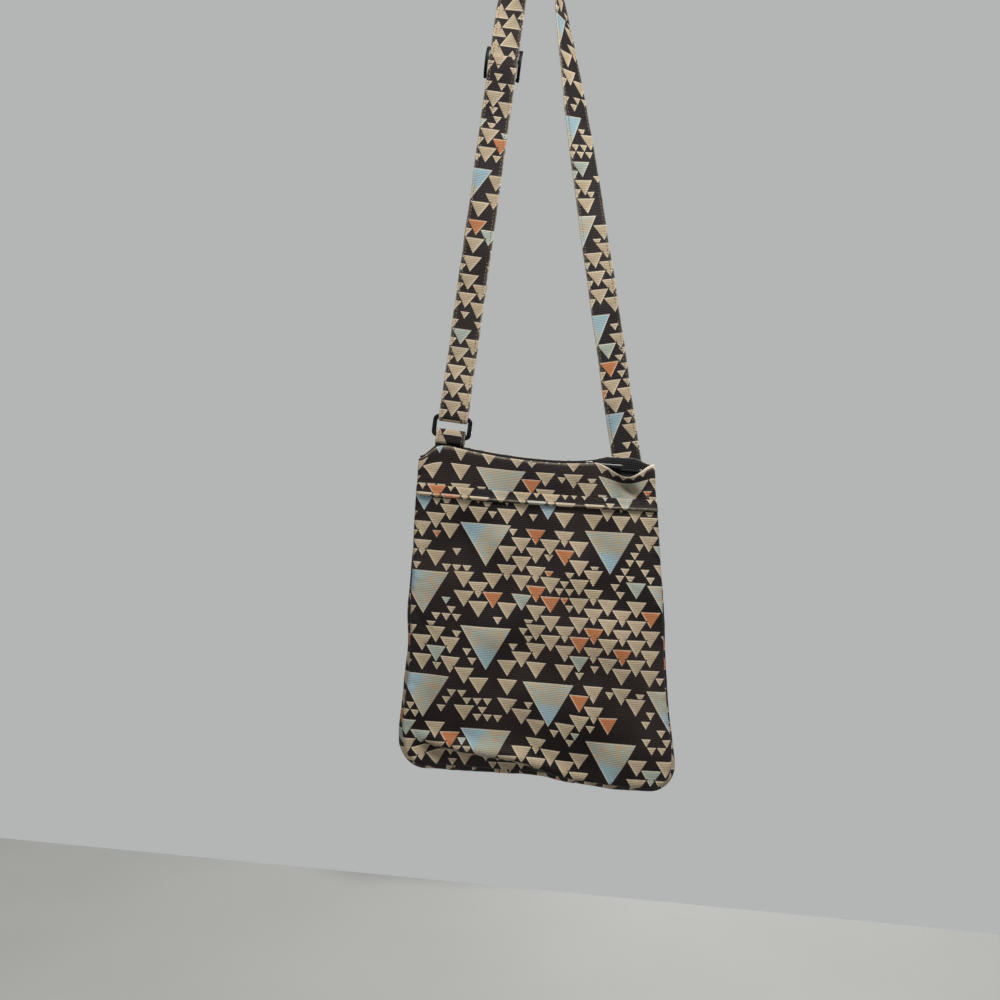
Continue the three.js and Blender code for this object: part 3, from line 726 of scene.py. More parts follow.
def panel(
    node, point_at, material, print_place, top=0.0, inset=0.0, inward=0.0,
    thickness=CLOTH, hem=HEM_THICKNESS, rub_and_highlight=0.0, flank_rub_and_highlight=0.0,
):
    """A cloth panel: up its face from the base, over a round top edge and back down inside."""
    rows = panel_rows(top, max(inset, BASE_BULGE))
    thick = lerp(hem, thickness, smoothstep(rows - top, 0.0, HEM_TAPER))
    # The round edge has an even number of points, because the panel's two sides close across.
    turn = np.linspace(0, math.pi, 7)[[1, 2, 4, 5]]
    v = np.concatenate([rows[::-1], top - hem / 2 * np.sin(turn), rows])
    face = np.zeros(len(rows))
    deep = np.concatenate([face, hem / 2 * (1 - np.cos(turn)), thick]) + inward
    is_inside = np.concatenate([face, turn > FACING_FROM * math.pi, face + 1]) > 0
    level = np.maximum(v, top)
    u = panel_columns()[:, None] * half_width(level, np.maximum(inset_at(level), inset))
    uvs = stacked(u + print_place[0], print_place[1] - v - taken_up(u, v))
    below = level - top
    # Pale rim along the top edge, wider on the open dip's flank: rub wear and a painted highlight where
    # the fold catches the light
    at_slope = flank_rub_and_highlight * smoothstep(u, OPEN_FROM, OPEN_FROM + SLOPE_RIM_FADE)
    at_flank = flank_rub_and_highlight * smoothstep(u, DIP_RIM_FROM - DIP_RIM_FADE, DIP_RIM_FROM)
    rim = (rub_and_highlight + at_slope) * np.exp(-below / RIM_WIDTH) + at_flank * hump(below, DIP_RIM_WIDTH)
    wear_and_highlight = np.where(is_inside, -1.0, rim)
    return loft(node + "_cloth", point_at(u, v, deep), uvs, material, wear_and_highlight)


# Gusset: one strip down the left side, along the base and up the right side
def gusset_outline():
    """The panels' seam, from the left top round the base to the right top, and its outward side."""
    v = panel_rows(ZIP_DROP, BASE_BULGE)
    right = stacked(half_width(v, inset_at(v)), v)
    foot = right[-1, 0]
    base = np.arange(-foot + ROW_STEP, foot - ROW_STEP / 2, ROW_STEP)
    line = np.concatenate([right * [-1, 1], stacked(base, right[-1, 1]), right[::-1]])
    return line, left_of(line)


def gusset(material):
    line, outward = gusset_outline()
    across = np.sin(np.linspace(-math.pi / 2, math.pi / 2, GUSSET_COLUMNS))
    across = np.concatenate([across, across[::-1]])
    deep = np.repeat([0.0, GUSSET_THICKNESS], GUSSET_COLUMNS)
    v = line[:, 1:2]
    run = run_along(line)[:, None]
    ripple = waves(run, across * GUSSET_RIPPLE_SPAN, *GUSSET_WAVES) * (1 - across**4)
    stand = bulge_at(v) * (1 - across**2) ** GUSSET_ROUNDNESS - GUSSET_TUCK * across**6 - deep
    stand = stand + GUSSET_RIPPLE * ripple
    u = line[:, 0:1] + outward[:, 0:1] * stand
    down = v + outward[:, 1:2] * stand
    front = front_point(line[:, 0:1], v, GUSSET_INWARD)[..., 1]
    back = back_point(line[:, 0:1], v, GUSSET_INWARD)[..., 1]
    y = lerp(front, back, (across + 1) / 2)
    z = top_edge(u) - down + hang(u, down, back_rise(u) / 2)
    points = stacked(u + side_wave(u, down), y, z)
    return loft("gusset_cloth", points, stacked(y + GUSSET_PRINT, -run), material)


def strip_section(path, thickness):
    """Closed section of a thin strip that follows a path in its own plane."""
    path = np.asarray(path)
    side = left_of(path) * thickness / 2
    return np.concatenate([path + side, (path - side)[::-1]])


# Binding: a strip folded over the pocket's mouth, its lower edge a lip that stands proud
def pocket_binding(material):
    foot = POCKET_DROP + HEM_HEIGHT
    top = POCKET_DROP + BINDING_TOP
    behind = CLOTH + BINDING_SPACE
    half = CLOTH / 2 + BINDING_SPACE
    path = [(foot - up, -out) for up, out in BINDING_LIP + BINDING_FACE]
    path.append((top, -BINDING_SPACE))
    for angle in np.linspace(0, math.pi, BINDING_STEPS)[1:-1]:
        crest = POCKET_DROP + BINDING_CREST - half * math.sin(angle)
        path.append((crest, CLOTH / 2 - half * math.cos(angle)))
    path += [(top, behind), (foot - BINDING_BACK_RISE, behind)]
    section = strip_section(path, BINDING_THICKNESS)
    v, inward = section.T
    u = panel_columns()[:, None] * half_width(v, BINDING_INSET)
    uvs = stacked(u + BINDING_PRINT[0], run_along(section) + BINDING_PRINT[1])
    # Pale line along the lip's top: rub wear and a painted highlight where the lip catches the light
    lip_rub_and_highlight = LIP_RUB_AND_HIGHLIGHT * hump(v - foot + LIP_RISE, LIP_WIDTH) * (inward < 0)
    return loft("pocket_binding_cloth", pocket_point(u, v, inward), uvs, material, lip_rub_and_highlight)


# Parts of a piece: points and faces that are joined into one mesh
def loft_part(rings, is_loop=False):
    rings = np.array(rings)
    count, size = rings.shape[:2]
    return rings.reshape(-1, 3), loft_faces(count, size, is_loop)


def join_parts(name, parts, material):
    points = []
    faces = []
    start = 0
    for part_points, part_faces in parts:
        points.append(part_points)
        faces.extend([tuple(start + i for i in face) for face in part_faces])
        start += len(part_points)
    return make_piece(name, np.concatenate(points), faces, np.zeros((start, 2)), material)


def bead(sides, roundness):
    """Unit ball as points and faces, squarer where its roundness is less than 1."""
    points = [(0.0, 0.0, 1.0)]
    for i in range(1, BEAD_ROWS):
        tilt = math.pi * i / BEAD_ROWS
        radius = math.sin(tilt)
        for j in range(sides):
            turn = 2 * math.pi * j / sides
            points.append((radius * math.cos(turn), radius * math.sin(turn), math.cos(tilt)))
    points.append((0.0, 0.0, -1.0))
    points = np.array(points)
    points = np.sign(points) * np.abs(points) ** roundness
    foot = len(points) - 1
    faces = []
    for j in range(sides):
        k = (j + 1) % sides
        faces.append((0, 1 + j, 1 + k))
        faces.append((foot, foot - sides + k, foot - sides + j))
        for i in range(BEAD_ROWS - 2):
            here = 1 + i * sides
            faces.append((here + j, here + sides + j, here + sides + k, here + k))
    return points, faces


def scatter_part(shape, places, axes, radii):
    """Copies of one small shape, each at its place, with its own axes and the same three radii."""
    points, faces = shape
    copies = places[:, None, :] + np.einsum("pk,nkd->npd", points * radii, axes)
    size = len(points)
    all_faces = [tuple(i * size + k for k in face) for i in range(len(places)) for face in faces]
    return copies.reshape(-1, 3), all_faces


# Strap: stations along its middle line, each with a direction, the facing of its front and a run length
class Line:
    def __init__(self, points, facing):
        self.points = np.asarray(points, dtype=float)
        self.ahead = unit(np.gradient(self.points, axis=0))
        self.across = unit(np.cross(self.ahead, facing))
        self.facing = np.cross(self.across, self.ahead)
        self.run = run_along(self.points)


def strap_run(side, reach):
    """One side of the strap: its foot, way up, outward side, bearing at the peg and length."""
    foot = np.array([side * reach, 0.0, top_edge(side * reach)])
    radius = PEG_RADIUS + STRAP_THICKNESS / 2
    from_peg = foot + [0.0, 0.0, PEG_RADIUS]
    bearing = math.atan2(from_peg[2], side * from_peg[0])
    bearing += math.acos(radius / np.linalg.norm(from_peg))
    top = np.array([side * radius * math.cos(bearing), 0.0, radius * math.sin(bearing) - PEG_RADIUS])
    length = np.linalg.norm(top - foot)
    up = (top - foot) / length
    outward = np.array([side * up[2], 0.0, -side * up[0]])
    return foot, up, outward, bearing, length


LEFT_FOOT, LEFT_UP, LEFT_OUTWARD, LEFT_BEARING, LEFT_LENGTH = strap_run(-1, STRAP_REACH)
RIGHT_RUN = strap_run(1, STRAP_REACH + RIGHT_REACH_EXTRA)
RIGHT_FOOT, RIGHT_UP, RIGHT_OUTWARD, RIGHT_BEARING, RIGHT_LENGTH = RIGHT_RUN
BACKWARD = np.array([0.0, 1.0, 0.0])
LEFT_ACROSS = np.cross(BACKWARD, LEFT_UP)


def twisted(outward, share):
    twist = (math.pi / 2) * np.asarray(share)[:, None]
    return outward * np.sin(twist) - BACKWARD * np.cos(twist)


def on_left_run(y, rise, x=0.0):
    """A place in the left run's own axes: across, back and up along the strap."""
    y, rise, x = np.broadcast_arrays(np.asarray(y, dtype=float), rise, x)
    return LEFT_FOOT + x[..., None] * LEFT_ACROSS + y[..., None] * BACKWARD + rise[..., None] * LEFT_UP


def main_line():
    """Right end, up, over the peg, down the left and round the ring's top bar."""
    along = np.arange(-STRAP_SEWN, RIGHT_LENGTH, STRAP_STEP)
    right = RIGHT_FOOT + along[:, None] * RIGHT_UP
    right_facing = twisted(RIGHT_OUTWARD, np.clip(along / RIGHT_LENGTH, 0.0, 1.0) ** RIGHT_TWIST_POWER)
    angle = np.linspace(RIGHT_BEARING, math.pi - LEFT_BEARING, PEG_STEPS)
    radial = stacked(np.cos(angle), 0.0, np.sin(angle))
    over = radial * (PEG_RADIUS + STRAP_THICKNESS / 2) - [0.0, 0.0, PEG_RADIUS]
    along = np.arange(LEFT_LENGTH - STRAP_STEP, RING_TOP_RISE + STRAP_STEP / 2, -STRAP_STEP)
    left = LEFT_FOOT + along[:, None] * LEFT_UP
    left_facing = twisted(LEFT_OUTWARD, 1 - smoothstep(LEFT_LENGTH - along, 0.0, LEFT_TWIST_LENGTH))
    turn = np.linspace(0, math.pi, LOOP_STEPS)
    loop = on_left_run(RING_Y - RING_Y * np.cos(turn), RING_TOP_RISE + RING_Y * np.sin(turn))
    loop_facing = np.sin(turn)[:, None] * LEFT_UP - np.cos(turn)[:, None] * BACKWARD
    rise = np.linspace(LOOP_END_START, LOOP_RISE + CLEARANCE / 2, LOOP_END_STEPS)
    end = on_left_run(2 * RING_Y, RING_TOP_RISE + rise)
    end_facing = np.broadcast_to(BACKWARD, end.shape)
    points = np.concatenate([right, over, left, loop, end])
    return Line(points, np.concatenate([right_facing, radial, left_facing, loop_facing, end_facing]))


def left_line(path):
    """A strip whose middle line lies in the left run's y and rise plane."""
    y, rise = np.asarray(path, dtype=float).T
    points = on_left_run(y, rise)
    ahead = unit(np.gradient(points, axis=0))
    facing = -BACKWARD * (ahead @ LEFT_UP)[:, None] + LEFT_UP * (ahead @ BACKWARD)[:, None]
    return Line(points, facing)


def return_line():
    """From the ring's loop up the front of the left run to the slider's fold."""
    start = RING_TOP_RISE + LOOP_RISE + CLEARANCE / 2
    end = SLIDER_RISE - FOLD_FRONT - CLEARANCE / 2
    rise = np.arange(start, end + STRAP_STEP / 2, STRAP_STEP)
    settled = lerp(2 * RING_Y, -RETURN_SPACING, smoothstep(rise, start, start + RETURN_FLARE))
    y = lerp(settled, SLIDER_BAR_Y - FOLD_RADIUS, smoothstep(rise, end - RETURN_FLARE, end))
    return left_line(stacked(y, rise))


def fold_line():
    """Up the front of the slider's middle bar, over it and down behind."""
    front_y = SLIDER_BAR_Y - FOLD_RADIUS
    path = [(front_y, SLIDER_RISE - FOLD_FRONT * share) for share in (1.0, 0.66, 0.33)]
    for angle in np.linspace(math.pi, 0, FOLD_STEPS):
        y = SLIDER_BAR_Y + FOLD_RADIUS * math.cos(angle)
        path.append((y, SLIDER_RISE + FOLD_RADIUS * math.sin(angle)))
    path += [(FOLD_BACK_Y, SLIDER_RISE - FOLD_TAIL * share) for share in (0.2, 0.4, 0.6, 0.8, 1.0)]
    return left_line(path)


def rounded_path(corners):
    """Evenly spaced points along a path of straight legs, with its corners eased."""
    corners = np.asarray(corners)
    run = run_along(corners)
    even = np.linspace(0, run[-1], int(run[-1] / TAB_STEP))
    spread = np.clip(even[:, None] + np.linspace(-TAB_EASE, TAB_EASE, EASE_STEPS), 0, run[-1])
    return values_at(spread, run, corners).mean(axis=1)


def tab_line():
    """Up from inside the mouth, over the ring's lower bar and down again in front."""
    crest = RING_RISE + RING_BAR / 2 + TAB_CREST_ROOM + STRAP_THICKNESS / 2
    sewn_y = STRAP_THICKNESS + CLEARANCE
    back = RING_Y + TAB_HALF
    front = RING_Y - TAB_HALF
    corners = [
        (sewn_y, -TAB_SEWN),
        (sewn_y, 0.0),
        (back, RING_RISE - TAB_SHOULDER_DROP),
        (back, crest + TAB_FLANK),
        (back - TAB_CUT, crest + TAB_CREST),
        (front + TAB_CUT, crest + TAB_CREST),
        (front, crest + TAB_FLANK),
        (front, TAB_SLANT_TOP),
        (0.0, TAB_SLANT_FOOT),
        (0.0, -TAB_SEWN),
    ]
    return left_line(rounded_path(corners))


def strap_section():
    """Section of the strap: rounded edges, pressed in a little along the two rows of stitches."""
    half = STRAP_WIDTH / 2
    across = half * np.sin(np.linspace(math.pi / 2, -math.pi / 2, STRAP_COLUMNS))
    from_edge = half - np.abs(across)
    edge = np.clip(1 - from_edge / STRAP_EDGE_ROUND, 0.0, 1.0)
    through = STRAP_THICKNESS / 2 * np.sqrt(np.maximum(1 - edge**2, STRAP_EDGE_LEFT))
    through = through - STITCH_GROOVE * hump(from_edge - STITCH_INSET, STITCH_GROOVE_WIDTH)
    return np.concatenate([across, across[::-1]]), np.concatenate([through, -through[::-1]])


def strap_strip(name, line, material, run_start, seed, wobble, smooth_from):
    """A strip of the strap, wavy up to a run length and smooth from there, where the slider runs."""
    across, through = strap_section()
    run = line.run[:, None]
    sway = wobble * STRAP_SWAY * waves(run, 0.0, seed, *SWAY_LENGTHS)
    wobble = wobble * (1 - smoothstep(run, smooth_from - SMOOTH_FADE, smooth_from))
    buckle = wobble * STRAP_BUCKLE * waves(run, across[None, :], seed + 1, *BUCKLE_LENGTHS)
    points = line.points[:, None, :] + (across + sway)[:, :, None] * line.across[:, None, :]
    points = points + (through + buckle)[:, :, None] * line.facing[:, None, :]
    uvs = stacked(run_along(stacked(across, through)) + STRAP_PRINT, run + run_start)
    # Pale rims along both edges: rub wear and a painted highlight where the edges catch the light
    rub_and_highlight = STRAP_RUB_AND_HIGHLIGHT * np.exp(-(STRAP_WIDTH / 2 - np.abs(across)) / STRAP_RUB_AND_HIGHLIGHT_WIDTH)
    return loft(name, points, uvs, material, rub_and_highlight)


# Metal fittings
def squared_circle(radius, roundness):
    """Section of a bar: a square with well rounded corners."""
    around = np.linspace(0, 2 * math.pi, BAR_SIDES, endpoint=False)
    circle = stacked(np.cos(around), np.sin(around))
    return radius * np.sign(circle) * np.abs(circle) ** roundness


def ring_piece(material):
    half_x = (RING_INNER_WIDTH + RING_BAR) / 2 - RING_CORNER
    half_z = (RING_HEIGHT - RING_BAR) / 2 - RING_CORNER
    middle = RING_RISE + (RING_HEIGHT - RING_BAR) / 2
    bar = squared_circle(RING_BAR / 2, RING_ROUNDNESS)
    reach = RING_CORNER + bar[:, 0]
    rings = []
    for quarter in range(4):
        corner = math.pi / 2 * quarter + math.pi / 4
        x = math.copysign(half_x, math.cos(corner))
        z = math.copysign(half_z, math.sin(corner))
        for angle in math.pi / 2 * (quarter + np.linspace(0, 1, RING_CORNER_STEPS)):
            rise = middle + z + reach * math.sin(angle)
            rings.append(on_left_run(RING_Y + bar[:, 1], rise, x + reach * math.cos(angle)))
    return join_parts("ring_bar", [loft_part(rings, is_loop=True)], material)


def slider_piece(material):
    """Strap slider: two arched rails and three round bars."""
    end_y = STRAP_THICKNESS / 2 + CLEARANCE + SLIDER_BAR / 2
    end_rise = SLIDER_HEIGHT / 2 - SLIDER_BAR / 2
    rail_x = STRAP_WIDTH / 2 + SLIDER_SIDE_CLEARANCE + SLIDER_BAR / 2
    bow = end_y - SLIDER_BAR_Y
    bow_radius = (end_rise**2 + bow**2) / (2 * bow)
    reach = math.asin(end_rise / bow_radius) + SLIDER_BAR / 2 / bow_radius
    square = squared_circle(SLIDER_BAR / 2, RAIL_ROUNDNESS)
    circle = squared_circle(CROSS_BAR_FIT * SLIDER_BAR / 2, 1.0)
    parts = []
    for side in (-1, 1):
        rings = []
        for angle in np.linspace(-reach, reach, RAIL_STEPS):
            end = 1 - RAIL_END_TAPER * smoothstep(abs(angle), reach * RAIL_END_FROM, reach)
            out = bow_radius + square[:, 1] * end
            y = SLIDER_BAR_Y + bow_radius - out * math.cos(angle)
            rise = SLIDER_RISE + out * math.sin(angle)
            rings.append(on_left_run(y, rise, side * rail_x + square[:, 0] * end))
        parts.append(loft_part(rings))
    for y, rise in ((end_y, -end_rise), (SLIDER_BAR_Y, 0.0), (end_y, end_rise)):
        rings = []
        for x in np.linspace(-rail_x, rail_x, 3):
            rings.append(on_left_run(y + circle[:, 0], SLIDER_RISE + rise + circle[:, 1], x))
        parts.append(loft_part(rings))
    return join_parts("strap_slider_metal", parts, material)


def bevelled_copy(node, width, material):
    """A model's metal piece with its edges eased."""
    shell = bmesh.new()
    shell.from_mesh(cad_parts[node].data)
    bmesh.ops.remove_doubles(shell, verts=shell.verts, dist=1e-6)
    flat = math.radians(FLAT_ANGLE)
    bmesh.ops.dissolve_limit(shell, angle_limit=flat, verts=shell.verts, edges=shell.edges)
    sharp = [e for e in shell.edges if e.calc_face_angle(0.0) > math.radians(BEVEL_ANGLE)]
    bmesh.ops.bevel(shell, geom=sharp, offset=width, segments=3, profile=0.6, affect="EDGES")
    bmesh.ops.triangulate(shell, faces=[f for f in shell.faces if len(f.verts) > 4])
    mesh = bpy.data.meshes.new(node + "_metal")
    shell.to_mesh(mesh)
    shell.free()
    shade_smooth(mesh, METAL_SHARP_ANGLE)
    mesh.materials.append(material)
    return add_object(node + "_metal", mesh)


# Zip: a woven tape and a row of teeth along each side of the mouth
def mouth_point(side, u, v, inward):
    """A place at the mouth, on the front side (-1), which sags open, or the back (1)."""
    y = BAG_Y + side * (MOUTH_DEPTH / 2 - inward)
    z = top_edge(u) - v
    if side < 0:
        opened = openness(u, v)
        y = y - OPEN_GAPE * opened + dent(u, v, *DIP_FOLD)
        z = z - OPEN_DIP * opened
    return stacked(u, y, z)


def zip_tape(side, name, material):
    path = [(v, TAPE_INWARD) for v in TAPE_LEG]
    path += [(v, TAPE_INWARD + inward) for v, inward in TAPE_BEND]
    path.append((ZIP_DROP, COIL_INWARD + TAPE_OVERLAP))
    section = strip_section(path, TAPE_THICKNESS)
    half = ZIP_HALF_LENGTH + TAPE_END
    u = np.arange(-half, half + TAPE_STEP / 2, TAPE_STEP)[:, None]
    points = mouth_point(side, u, section[:, 0], section[:, 1])
    return loft(name, points, stacked(u, points[..., 2]), material)


def zip_teeth(side, name, material):
    u = np.arange(-ZIP_HALF_LENGTH + TOOTH_PITCH / 2, ZIP_HALF_LENGTH, TOOTH_PITCH)
    places = mouth_point(side, u, ZIP_DROP, COIL_INWARD + COIL_WIDTH / 2)
    ahead = unit(np.gradient(places, axis=0))
    up = unit(np.cross(-BACKWARD, ahead))
    axes = np.stack([ahead, np.cross(up, ahead), up], axis=1)
    radii = np.array([TOOTH_PITCH * TOOTH_FILL, COIL_WIDTH / 2, COIL_HEIGHT / 2])
    tooth = bead(TOOTH_SIDES, TOOTH_ROUNDNESS)
    return join_parts(name, [scatter_part(tooth, places, axes, radii)], material)


# Stitches: short rounded stretches of thread along a line that lies on the cloth
def stitch_part(points, facing):
    """A row of stitches along points, each lying flat on the facing side."""
    line = Line(points, facing)
    stops = np.arange(STITCH_PITCH / 2, line.run[-1] - STITCH_LENGTH / 2, STITCH_PITCH)
    ahead = unit(values_at(stops, line.run, line.ahead))
    across = unit(values_at(stops, line.run, line.across))
    axes = np.stack([ahead, across, np.cross(across, ahead)], axis=1)
    radii = np.array([STITCH_LENGTH / 2, THREAD_RADIUS * THREAD_FLATTENING, THREAD_RADIUS])
    return scatter_part(bead(STITCH_SIDES, 1.0), values_at(stops, line.run, line.points), axes, radii)


def strap_stitches(line, front_end):
    """Two rows of stitches on each side of a strip; those on its front stop at a run length."""
    parts = []
    for front, end in ((1, front_end), (-1, line.run[-1])):
        for edge in (-1, 1):
            offset = edge * (STRAP_WIDTH / 2 - STITCH_INSET)
            lift = front * (STRAP_THICKNESS / 2 - STITCH_SINK)
            points = line.points + offset * line.across + lift * line.facing
            shown = line.run <= end
            parts.append(stitch_part(points[shown], front * line.facing[shown]))
    return parts


# Materials
class Tree:
    """Short forms for building the nodes of a material or the world."""

    def __init__(self, name, library=bpy.data.materials):
        self.owner = library.new(name)
        self.owner.use_nodes = True
        self.nodes = self.owner.node_tree.nodes
        self.links = self.owner.node_tree.links

    def put(self, socket, value):
        """Link a socket to another node's output, or set its number or hex colour."""
        if isinstance(value, bpy.types.NodeSocket):
            self.links.new(value, socket)
        else:
            socket.default_value = colour(value) if isinstance(value, str) else value

    def fill(self, node, **inputs):
        for name, value in inputs.items():
            self.put(node.inputs[name.replace("_", " ")], value)
        return node

    def add(self, kind, **inputs):
        return self.fill(self.nodes.new("ShaderNode" + kind), **inputs)

    def surface(self, **inputs):
        """Set the shader's inputs, which finishes the material."""
        self.fill(self.nodes["Principled BSDF"], **inputs)
        return self.owner

    def math(self, operation, *values):
        node = self.add("Math")
        node.operation = operation
        for socket, value in zip(node.inputs, values):
            self.put(socket, value)
        return node.outputs[0]

    def scaled(self, value, low, high):
        """0 below low, 1 above high, straight between."""
        return self.add("MapRange", Value=value, From_Min=low, From_Max=high).outputs["Result"]

    def mix(self, share, a, b):
        node = self.add("Mix")
        node.data_type = "RGBA"
        self.put(node.inputs["Factor"], share)
        self.put(node.inputs[6], a)
        self.put(node.inputs[7], b)
        return node.outputs[2]

    def vector(self, x, y, z=0.0):
        return self.add("CombineXYZ", X=x, Y=y, Z=z).outputs[0]

    def chance(self, x, y, seed):
        """A fixed random number for each cell."""
        return self.add("TexWhiteNoise", Vector=self.vector(x, y, seed)).outputs["Value"]

    def noise(self, vector, scale, detail=2.0):
        return self.add("TexNoise", Vector=vector, Scale=scale, Detail=detail).outputs["Fac"]

    def bump(self, height, depth):
        return self.add("Bump", Height=height, Distance=depth).outputs["Normal"]

    def object_place(self):
        return self.add("TexCoord").outputs["Object"]


# Print: triangles with their points down, in three sizes and a layout of their own.
# Their density goes from the first value, outside the print's patches, to the second inside them.
Lattice = namedtuple("Lattice", "pitch size shift seed density")
LARGE = [
    Lattice(LARGE_PITCH, LARGE_SIZE, (0.010, 0.012), 1.5, (0.86, 0.86)),
    Lattice(LARGE_PITCH, LARGE_SIZE, (0.063, 0.056), 2.5, (0.80, 0.80)),
]
MEDIUM = [
    Lattice(MEDIUM_PITCH, MEDIUM_SIZE, (0.0, 0.0), 3.5, (0.62, 0.92)),
    Lattice(MEDIUM_PITCH, MEDIUM_SIZE, (0.0122, 0.0081), 4.5, (0.62, 0.92)),
]
SMALL = [
    Lattice(SMALL_PITCH, SMALL_SIZE, (0.0, 0.0032), 5.5, (0.60, 0.35)),
    Lattice(SMALL_PITCH, SMALL_SIZE, (0.00435, 0.0096), 6.5, (0.60, 0.35)),
]


class Cell:
    """The cell of a lattice that a place on the cloth falls in, and the triangle there."""

    def __init__(self, tree, lattice, x, y):
        numbers = []
        for value, shift, pitch in zip((x, y), lattice.shift, lattice.pitch):
            steps = tree.math("DIVIDE", tree.math("SUBTRACT", value, shift), pitch)
            numbers.append(tree.math("FLOOR", steps))
        self.tree = tree
        self.lattice = lattice
        self.column, self.row = numbers
        width, height = lattice.pitch
        first_top = lattice.shift[1] + (height + lattice.size[1]) / 2
        self.middle = tree.math("MULTIPLY_ADD", self.column, width, lattice.shift[0] + width / 2)
        self.top = tree.math("MULTIPLY_ADD", self.row, height, first_top)
        self.lean = tree.math("SUBTRACT", x, self.middle)
        self.below = tree.math("SUBTRACT", self.top, y)
        self.inside = self.depth(tree.math("ABSOLUTE", self.lean))

    def depth(self, lean):
        """Distance inside the top edge and the side that a place leans to, negative outside."""
        tree = self.tree
        width, height = self.lattice.size
        slope = width / 2 / height
        side = tree.math("SUBTRACT", width / 2, tree.math("MULTIPLY_ADD", self.below, slope, lean))
        side = tree.math("MULTIPLY", side, 1 / math.hypot(1.0, slope))
        return tree.math("MINIMUM", side, self.below)

    def chance(self, seed):
        return self.tree.chance(self.column, self.row, seed)

    def shown(self, larger):
        """1 where the triangle is drawn: picked by chance and clear of the larger ones."""
        tree = self.tree
        low, high = self.lattice.density
        patch = tree.noise(tree.vector(self.middle, self.top, PATCH_LEVEL), PATCH_SCALE, detail=0.0)
        density = tree.math("MULTIPLY_ADD", tree.scaled(patch, *PATCH_EDGE), high - low, low)
        result = tree.math("LESS_THAN", self.chance(self.lattice.seed), density)
        width, height = self.lattice.size
        heart = tree.math("SUBTRACT", self.top, height * HEART_SHARE)
        for k, lattices in enumerate(larger):
            hidden = covered(tree, lattices, self.middle, heart, width * COVER_SHARE, larger[k + 1:])
            result = tree.math("MULTIPLY", result, tree.math("SUBTRACT", 1.0, hidden))
        return result


def covered(tree, lattices, x, y, margin, larger):
    """1 where a place lies in, or within a margin of, a triangle that one of the lattices shows."""
    total = 0.0
    for lattice in lattices:
        cell = Cell(tree, lattice, x, y)
        near = tree.math("GREATER_THAN", cell.inside, -margin)
        total = tree.math("MAXIMUM", tree.math("MULTIPLY", near, cell.shown(larger)), total)
    return total


def large_colour(tree, cell, x, y, pick):
    """The large triangle's four quarters: two above, an upright one between them and the tip."""
    width, height = LARGE_SIZE
    reach = tree.math("MULTIPLY", cell.below, width / 2 / height)
    upright = tree.math("SUBTRACT", reach, tree.math("ABSOLUTE", cell.lean))
    upright = tree.scaled(upright, *UPRIGHT_EDGE)
    tip = tree.scaled(cell.below, height / 2 + TIP_EDGE[0], height / 2 + TIP_EDGE[1])
    swap = tree.math("GREATER_THAN", pick, 0.5)
    mottled = tree.scaled(tree.noise(tree.vector(x, y), MOTTLE_SCALE, detail=3.0), *MOTTLE_EDGE)
    base = tree.mix(mottled, GREY_GREEN, CREAM)
    left = tree.mix(swap, base, LIGHT_BLUE)
    sides = tree.mix(tree.scaled(cell.lean, *SIDES_EDGE), left, base)
    heart = tree.mix(upright, sides, tree.mix(0.5, base, GREY_GREEN))
    return tree.mix(tip, heart, tree.mix(swap, LIGHT_BLUE, base))


def plain_colour(tree, pick, orange_share):
    tone = tree.mix(tree.math("LESS_THAN", pick, orange_share + GREEN_SHARE), CREAM, GREY_GREEN)
    return tree.mix(tree.math("LESS_THAN", pick, orange_share), tone, ORANGE)


def print_colour(tree, x, y, ground):
    """The ground with the three sizes of triangles drawn on it, small ones first."""
    sizes = (
        (SMALL, [MEDIUM, LARGE], SMALL_ORANGE),
        (MEDIUM, [LARGE], MEDIUM_ORANGE),
        (LARGE, [], 0.0),
    )
    result = ground
    for lattices, larger, orange_share in sizes:
        for lattice in lattices:
            cell = Cell(tree, lattice, x, y)
            shown = cell.shown(larger)
            pick = cell.chance(lattice.seed + PICK_SEED)
            if lattices is LARGE:
                tone = large_colour(tree, cell, x, y, pick)
            else:
                tone = plain_colour(tree, pick, orange_share)
            # The weave shows the top edge and the left one lighter.
            lit = cell.depth(tree.math("MULTIPLY", cell.lean, -1.0))
            deep = tree.scaled(lit, SHADE_FROM, lattice.size[0] * SHADE_REACH)
            tone = tree.mix(deep, tone, DEEP_EDGE)
            rim = tree.math("MULTIPLY", tree.scaled(lit, *LIT_RIM), LIT_RIM_SHARE)
            gap = tree.scaled(cell.inside, -GAP_ROUND - EDGE_SOFTNESS, -GAP_ROUND)
            mask = tree.scaled(cell.inside, -EDGE_SOFTNESS / 2, EDGE_SOFTNESS / 2)
            result = tree.mix(tree.math("MULTIPLY", gap, shown), result, ground)
            tone = tree.mix(rim, tone, PALE_EDGE)
            result = tree.mix(tree.math("MULTIPLY", mask, shown), result, tone)
    return result


